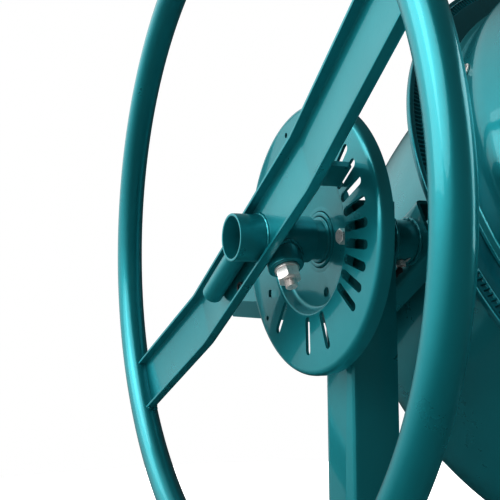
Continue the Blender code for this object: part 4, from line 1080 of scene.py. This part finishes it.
def make_housing():
    low, high = span("motor_cover")
    edge = [math.pi / 2 * k / 8 for k in range(9)]
    outside = [(low.x, 0.0)]
    outside += [(high.x - COVER_ROUND * (1.0 - math.sin(t)), COVER_ROUND * (1.0 - math.cos(t))) for t in edge]
    inside = [(high.x - COVER_WALL, COVER_HOLLOW), (high.x - COVER_ROUND, COVER_WALL), (low.x, COVER_WALL)]
    stations = [(x, inset, COVER_CORNER - 4) for x, inset in inside]
    stations += [(x, inset, max(COVER_CORNER - inset * 0.3, 10)) for x, inset in outside]
    sections = []
    for x, inset, corner in stations:
        sections.append([Vector((x, y, z)) for y, z in cover_outline(low, high, inset, corner)])
    bm = bmesh.new()
    add_loft(bm, sections)
    piece("cover_skin", bm, "stand", ["motor_cover"], sharp=60)

    # Pressed louvres on the lower half of the face, and a thin black strip under each lip as painted shade where
    # the opening would be
    middle = (low + high) / 2.0
    face = high.x
    heights = [middle.z + LOWEST_LOUVRE + k * LOUVRE_PITCH for k in range(LOUVRES)]
    bm = bmesh.new()
    for z in heights:
        rings = []
        for y, size in ((-52.0, 0.3), (-48.0, 1.0), (48.0, 1.0), (52.0, 0.3)):
            lip = ((-0.6, 0.0), (4.2 * size, -1.0), (4.0 * size, -2.6), (-0.6, -9.0))
            rings.append([Vector((face + d, middle.y + y, z + h)) for d, h in lip])
        add_loft(bm, rings)
    piece("cover_louvres", bm, "stand")
    # Painted shade: a thin black strip at each lip's lower edge stands for the dark opening under it; the lip
    # itself is solid
    slit_shade = ((0.5, -1.8), (4.3, -1.9), (4.3, -2.5), (0.5, -2.6))
    bm = bmesh.new()
    for z in heights:
        add_loft(bm, [[Vector((face + d, middle.y + y, z + h)) for d, h in slit_shade] for y in (-46.0, 46.0)])
    piece("louvre_slit_shade", bm, "stand", look="black_plastic")

    plate_low, plate_high = span("motor_back_plate")
    start, end = plate_low.x, plate_high.x
    bm = bmesh.new()
    add_plate(bm, cover_outline(plate_low, plate_high, 0.0, COVER_CORNER), start, end)
    plate = piece("plate_skin", bm, "stand", ["motor_back_plate"])
    pivot = (0, 0, TILT_HEIGHT)
    carve(plate, UPRIGHT, lambda bm: add_rod(bm, "X", start - 10, end + 10, SLEEVE_ROOM, pivot, 64))
    soften(plate, 0.6, 2, 50)

    # Screws that hold the cover to the plate, along its flat sides
    head = ((-0.5, 5.2), (0.9, 5.2), (2.4, 4.0), (3.0, 2.0), (3.0, 0.4))
    bm = bmesh.new()
    for side, y in ((-1, low.y), (1, high.y)):
        for z in (low.z + 70.0, middle.z + 90.0, high.z - 70.0):
            add_loft(bm, [ring("Y", y + side * a, r, (low.x + 9.0, 0, z), 28) for a, r in head])
    piece("cover_screws", bm, "stand", look="zinc")


def make_switch():
    low, high = span("switch_box")
    middle = (low + high) / 2.0
    outline = rounded_box(high.x - low.x, high.z - low.z, 7.0, 6)
    bm = bmesh.new()
    sections = []
    front = low.y
    seam = front + 27
    for y, inset in ((front, 3.0), (front + 0.8, 1.2), (front + 3.0, 0.0), (seam, 0.0), (seam, 0.7),
                     (seam + 1.2, 0.7), (seam + 1.2, 0.0), (high.y, 0.0)):
        factor_x = 1.0 - 2.0 * inset / (high.x - low.x)
        factor_z = 1.0 - 2.0 * inset / (high.z - low.z)
        sections.append([Vector((middle.x + a * factor_x, y, middle.z + b * factor_z)) for a, b in outline])
    add_loft(bm, sections)
    box = piece("switch_skin", bm, "stand", ["switch_box"], look="black_plastic")
    places = [sum(span(node), Vector()) / 2.0 for node in ("start_button", "stop_button")]

    def wells(bm):
        for place in places:
            add_rod(bm, "Y", front - 5, front + 14, 12.5, (place.x, 0, place.z), 56, 0.01)

    carve(box, UPRIGHT, wells)
    bm = bmesh.new()
    for place in places:
        collar = [(front - 1.6, 12.7), (front - 1.6, 15.2), (front + 0.4, 16.0), (front + 0.4, 12.7)]
        add_turned(bm, fillet(collar, [0.4] * 4, 2), "Y", (place.x, 0, place.z), 64)
    screw = ((1.2, 2.8), (0.4, 2.8), (-0.2, 2.4), (-0.4, 1.4), (0.2, 0.9), (0.2, 0.2))
    for x in (low.x + 6.5, high.x - 6.5):
        for z in (low.z + 6.5, high.z - 6.5):
            add_loft(bm, [ring("Y", front + a, r, (x, 0, z), 24) for a, r in screw])
    piece("switch_trim", bm, "stand", look="black_plastic")
    for node, look in (("start_button", "green_plastic"), ("stop_button", "red_plastic")):
        low, high = span(node)
        centre = (low + high) / 2.0
        dished = ((2.0, 12.0), (0.6, 11.6), (0.0, 10.6), (0.1, 9.6), (0.7, 8.0), (1.0, 4.0), (1.1, 0.4))
        stops = [(high.y, 11.5)] + [(low.y + a, r) for a, r in dished]
        bm = bmesh.new()
        add_loft(bm, [ring("Y", y, r, (centre.x, 0, centre.z), 56) for y, r in stops])
        piece(f"{node}_skin", bm, node, [node], look=look)


def make_inlet():
    """Round socket with its rim, two hinge stubs and three pins."""
    low, high = span("power_inlet")
    centre = (low + high) / 2.0
    spot = Vector((centre.x, centre.y, 0))
    floor = high.z - 7.7
    profile = [(low.z, 14.0), (low.z, 19.0), (high.z, 19.0), (high.z, 2.0), (floor, 2.0), (floor, 14.0)]
    bm = bmesh.new()
    add_turned(bm, fillet(profile, [0.8, 1.2, 0.5, 0.2, 0.2, 0.6], 3), "Z", spot, 64)
    for side in (-1, 1):
        add_rod(bm, "Y", -1.5, 1.5, 0.8, spot + Vector((side * 19.0, 0, low.z + 16)), 12, 0.1)
    piece("inlet_skin", bm, "stand", ["power_inlet"], look="black_plastic")
    bm = bmesh.new()
    for angle in turns(3):
        add_rod(bm, "Z", low.z + 6, high.z - 7, 2.2, around("Z", 0, 7, angle + math.pi / 2, spot), 20, 0.8)
    piece("inlet_pins", bm, "stand", look="bright_steel")


make_handwheel()
make_disc()
make_bearings()
make_stand()
make_road_wheels()
make_yoke()
make_drum()
make_ring_gear()
make_drive()
make_housing()
make_switch()
make_inlet()


# ---------------- studio

FLOOR_RADIUS = 3.2
FLOOR_GLOW = 0.70
VIEW_GAMMA = 0.72
SUN_DIRECTION = (0.66, 0.34, -0.55)
CAMERA_FROM_HUB = (-0.3478, -0.6437, -0.0394)
CAMERA_DIRECTION = (0.4196, 0.9068, 0.042)
WHITE = (1.0, 1.0, 1.0, 1.0)


def make_floor():
    made, tree, shader, place = shader_nodes("studio_floor")
    tone = remap(tree, noise(tree, place, 2.0, 4.0), 0.0, 1.0)
    grey = blend_colours(tree, tone, (0.84, 0.84, 0.84), (0.88, 0.88, 0.88))
    tree.links.new(grey, shader.inputs["Base Color"])
    shader.inputs["Roughness"].default_value = 0.6
    shader.inputs["Emission Color"].default_value = WHITE
    shader.inputs["Emission Strength"].default_value = FLOOR_GLOW
    bm = bmesh.new()
    bmesh.ops.create_circle(bm, cap_ends=True, radius=FLOOR_RADIUS, segments=96)
    mesh = to_mesh("floor", bm)
    mesh.materials.append(made)
    floor = add_object("floor", mesh)
    floor.visible_glossy = False        # the enamel doesn't mirror the glowing floor


def aim(made, direction):
    """Turn a light or the camera to look along a direction."""
    made.rotation_mode = "QUATERNION"
    made.rotation_quaternion = Vector(direction).to_track_quat("-Z", "Y")


def area_light(name, place, size, watts):
    """Rectangular light that faces the tilt axis."""
    data = bpy.data.lights.new(name, "AREA")
    data.shape = "RECTANGLE"
    data.size, data.size_y = size
    data.energy = watts
    made = add_object(name, data)
    made.location = place
    aim(made, PIVOT - Vector(place))


def make_world():
    """Soft surroundings: bright on the hand wheel's side and behind, dark in front and below."""
    world = bpy.data.worlds.new("studio")
    world.use_nodes = True
    tree = world.node_tree
    sky = tree.nodes["Background"]
    place = tree.nodes.new("ShaderNodeTexCoord")
    split = tree.nodes.new("ShaderNodeSeparateXYZ")
    tree.links.new(place.outputs["Generated"], split.inputs["Vector"])
    total = None
    for axis, weight in (("X", -0.76), ("Y", 0.42), ("Z", 0.20)):
        term = tree.nodes.new("ShaderNodeMath")
        term.operation = "MULTIPLY_ADD"
        term.inputs[1].default_value = weight
        tree.links.new(split.outputs[axis], term.inputs[0])
        if total is None:
            term.inputs[2].default_value = 0.0
        else:
            tree.links.new(total, term.inputs[2])
        total = term.outputs["Value"]
    side = remap(tree, total, 0.12, 1.90, 0.05, 0.90)
    height = remap(tree, split.outputs["Z"], 0.10, 1.0, -0.50, 0.25)
    both = tree.nodes.new("ShaderNodeMath")
    both.operation = "MULTIPLY"
    tree.links.new(side, both.inputs[0])
    tree.links.new(height, both.inputs[1])
    sight = tree.nodes.new("ShaderNodeLightPath")
    shown = tree.nodes.new("ShaderNodeMix")
    tree.links.new(sight.outputs["Is Camera Ray"], shown.inputs["Factor"])
    tree.links.new(both.outputs["Value"], shown.inputs["A"])
    shown.inputs["B"].default_value = 1.0
    tree.links.new(shown.outputs["Result"], sky.inputs["Strength"])
    sky.inputs["Color"].default_value = WHITE
    bpy.context.scene.world = world


def make_studio():
    make_world()
    sun = bpy.data.lights.new("sun", "SUN")
    sun.energy = 1.45
    sun.angle = math.radians(52)
    aim(add_object("sun", sun), SUN_DIRECTION)
    area_light("side", (-3.0, 0.4, 2.2), (2.6, 2.2), 36)
    area_light("fill", (3.2, -0.8, 1.8), (2.8, 2.4), 62)
    bpy.context.scene.view_settings.view_transform = "Standard"
    bpy.context.scene.view_settings.gamma = VIEW_GAMMA


def make_camera():
    """Close to the hand wheel's hub, looking along the stand from the front left."""
    disc_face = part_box("locking_disc")[0].x
    hub = Vector((disc_face, PIVOT.y, PIVOT.z))
    data = bpy.data.cameras.new("camera")
    data.sensor_width = 36.0
    data.lens = 64.6
    data.clip_start = 0.02
    made = add_object("camera", data)
    made.location = hub + Vector(CAMERA_FROM_HUB)
    aim(made, CAMERA_DIRECTION)
    bpy.context.scene.camera = made


make_floor()
make_studio()
make_camera()
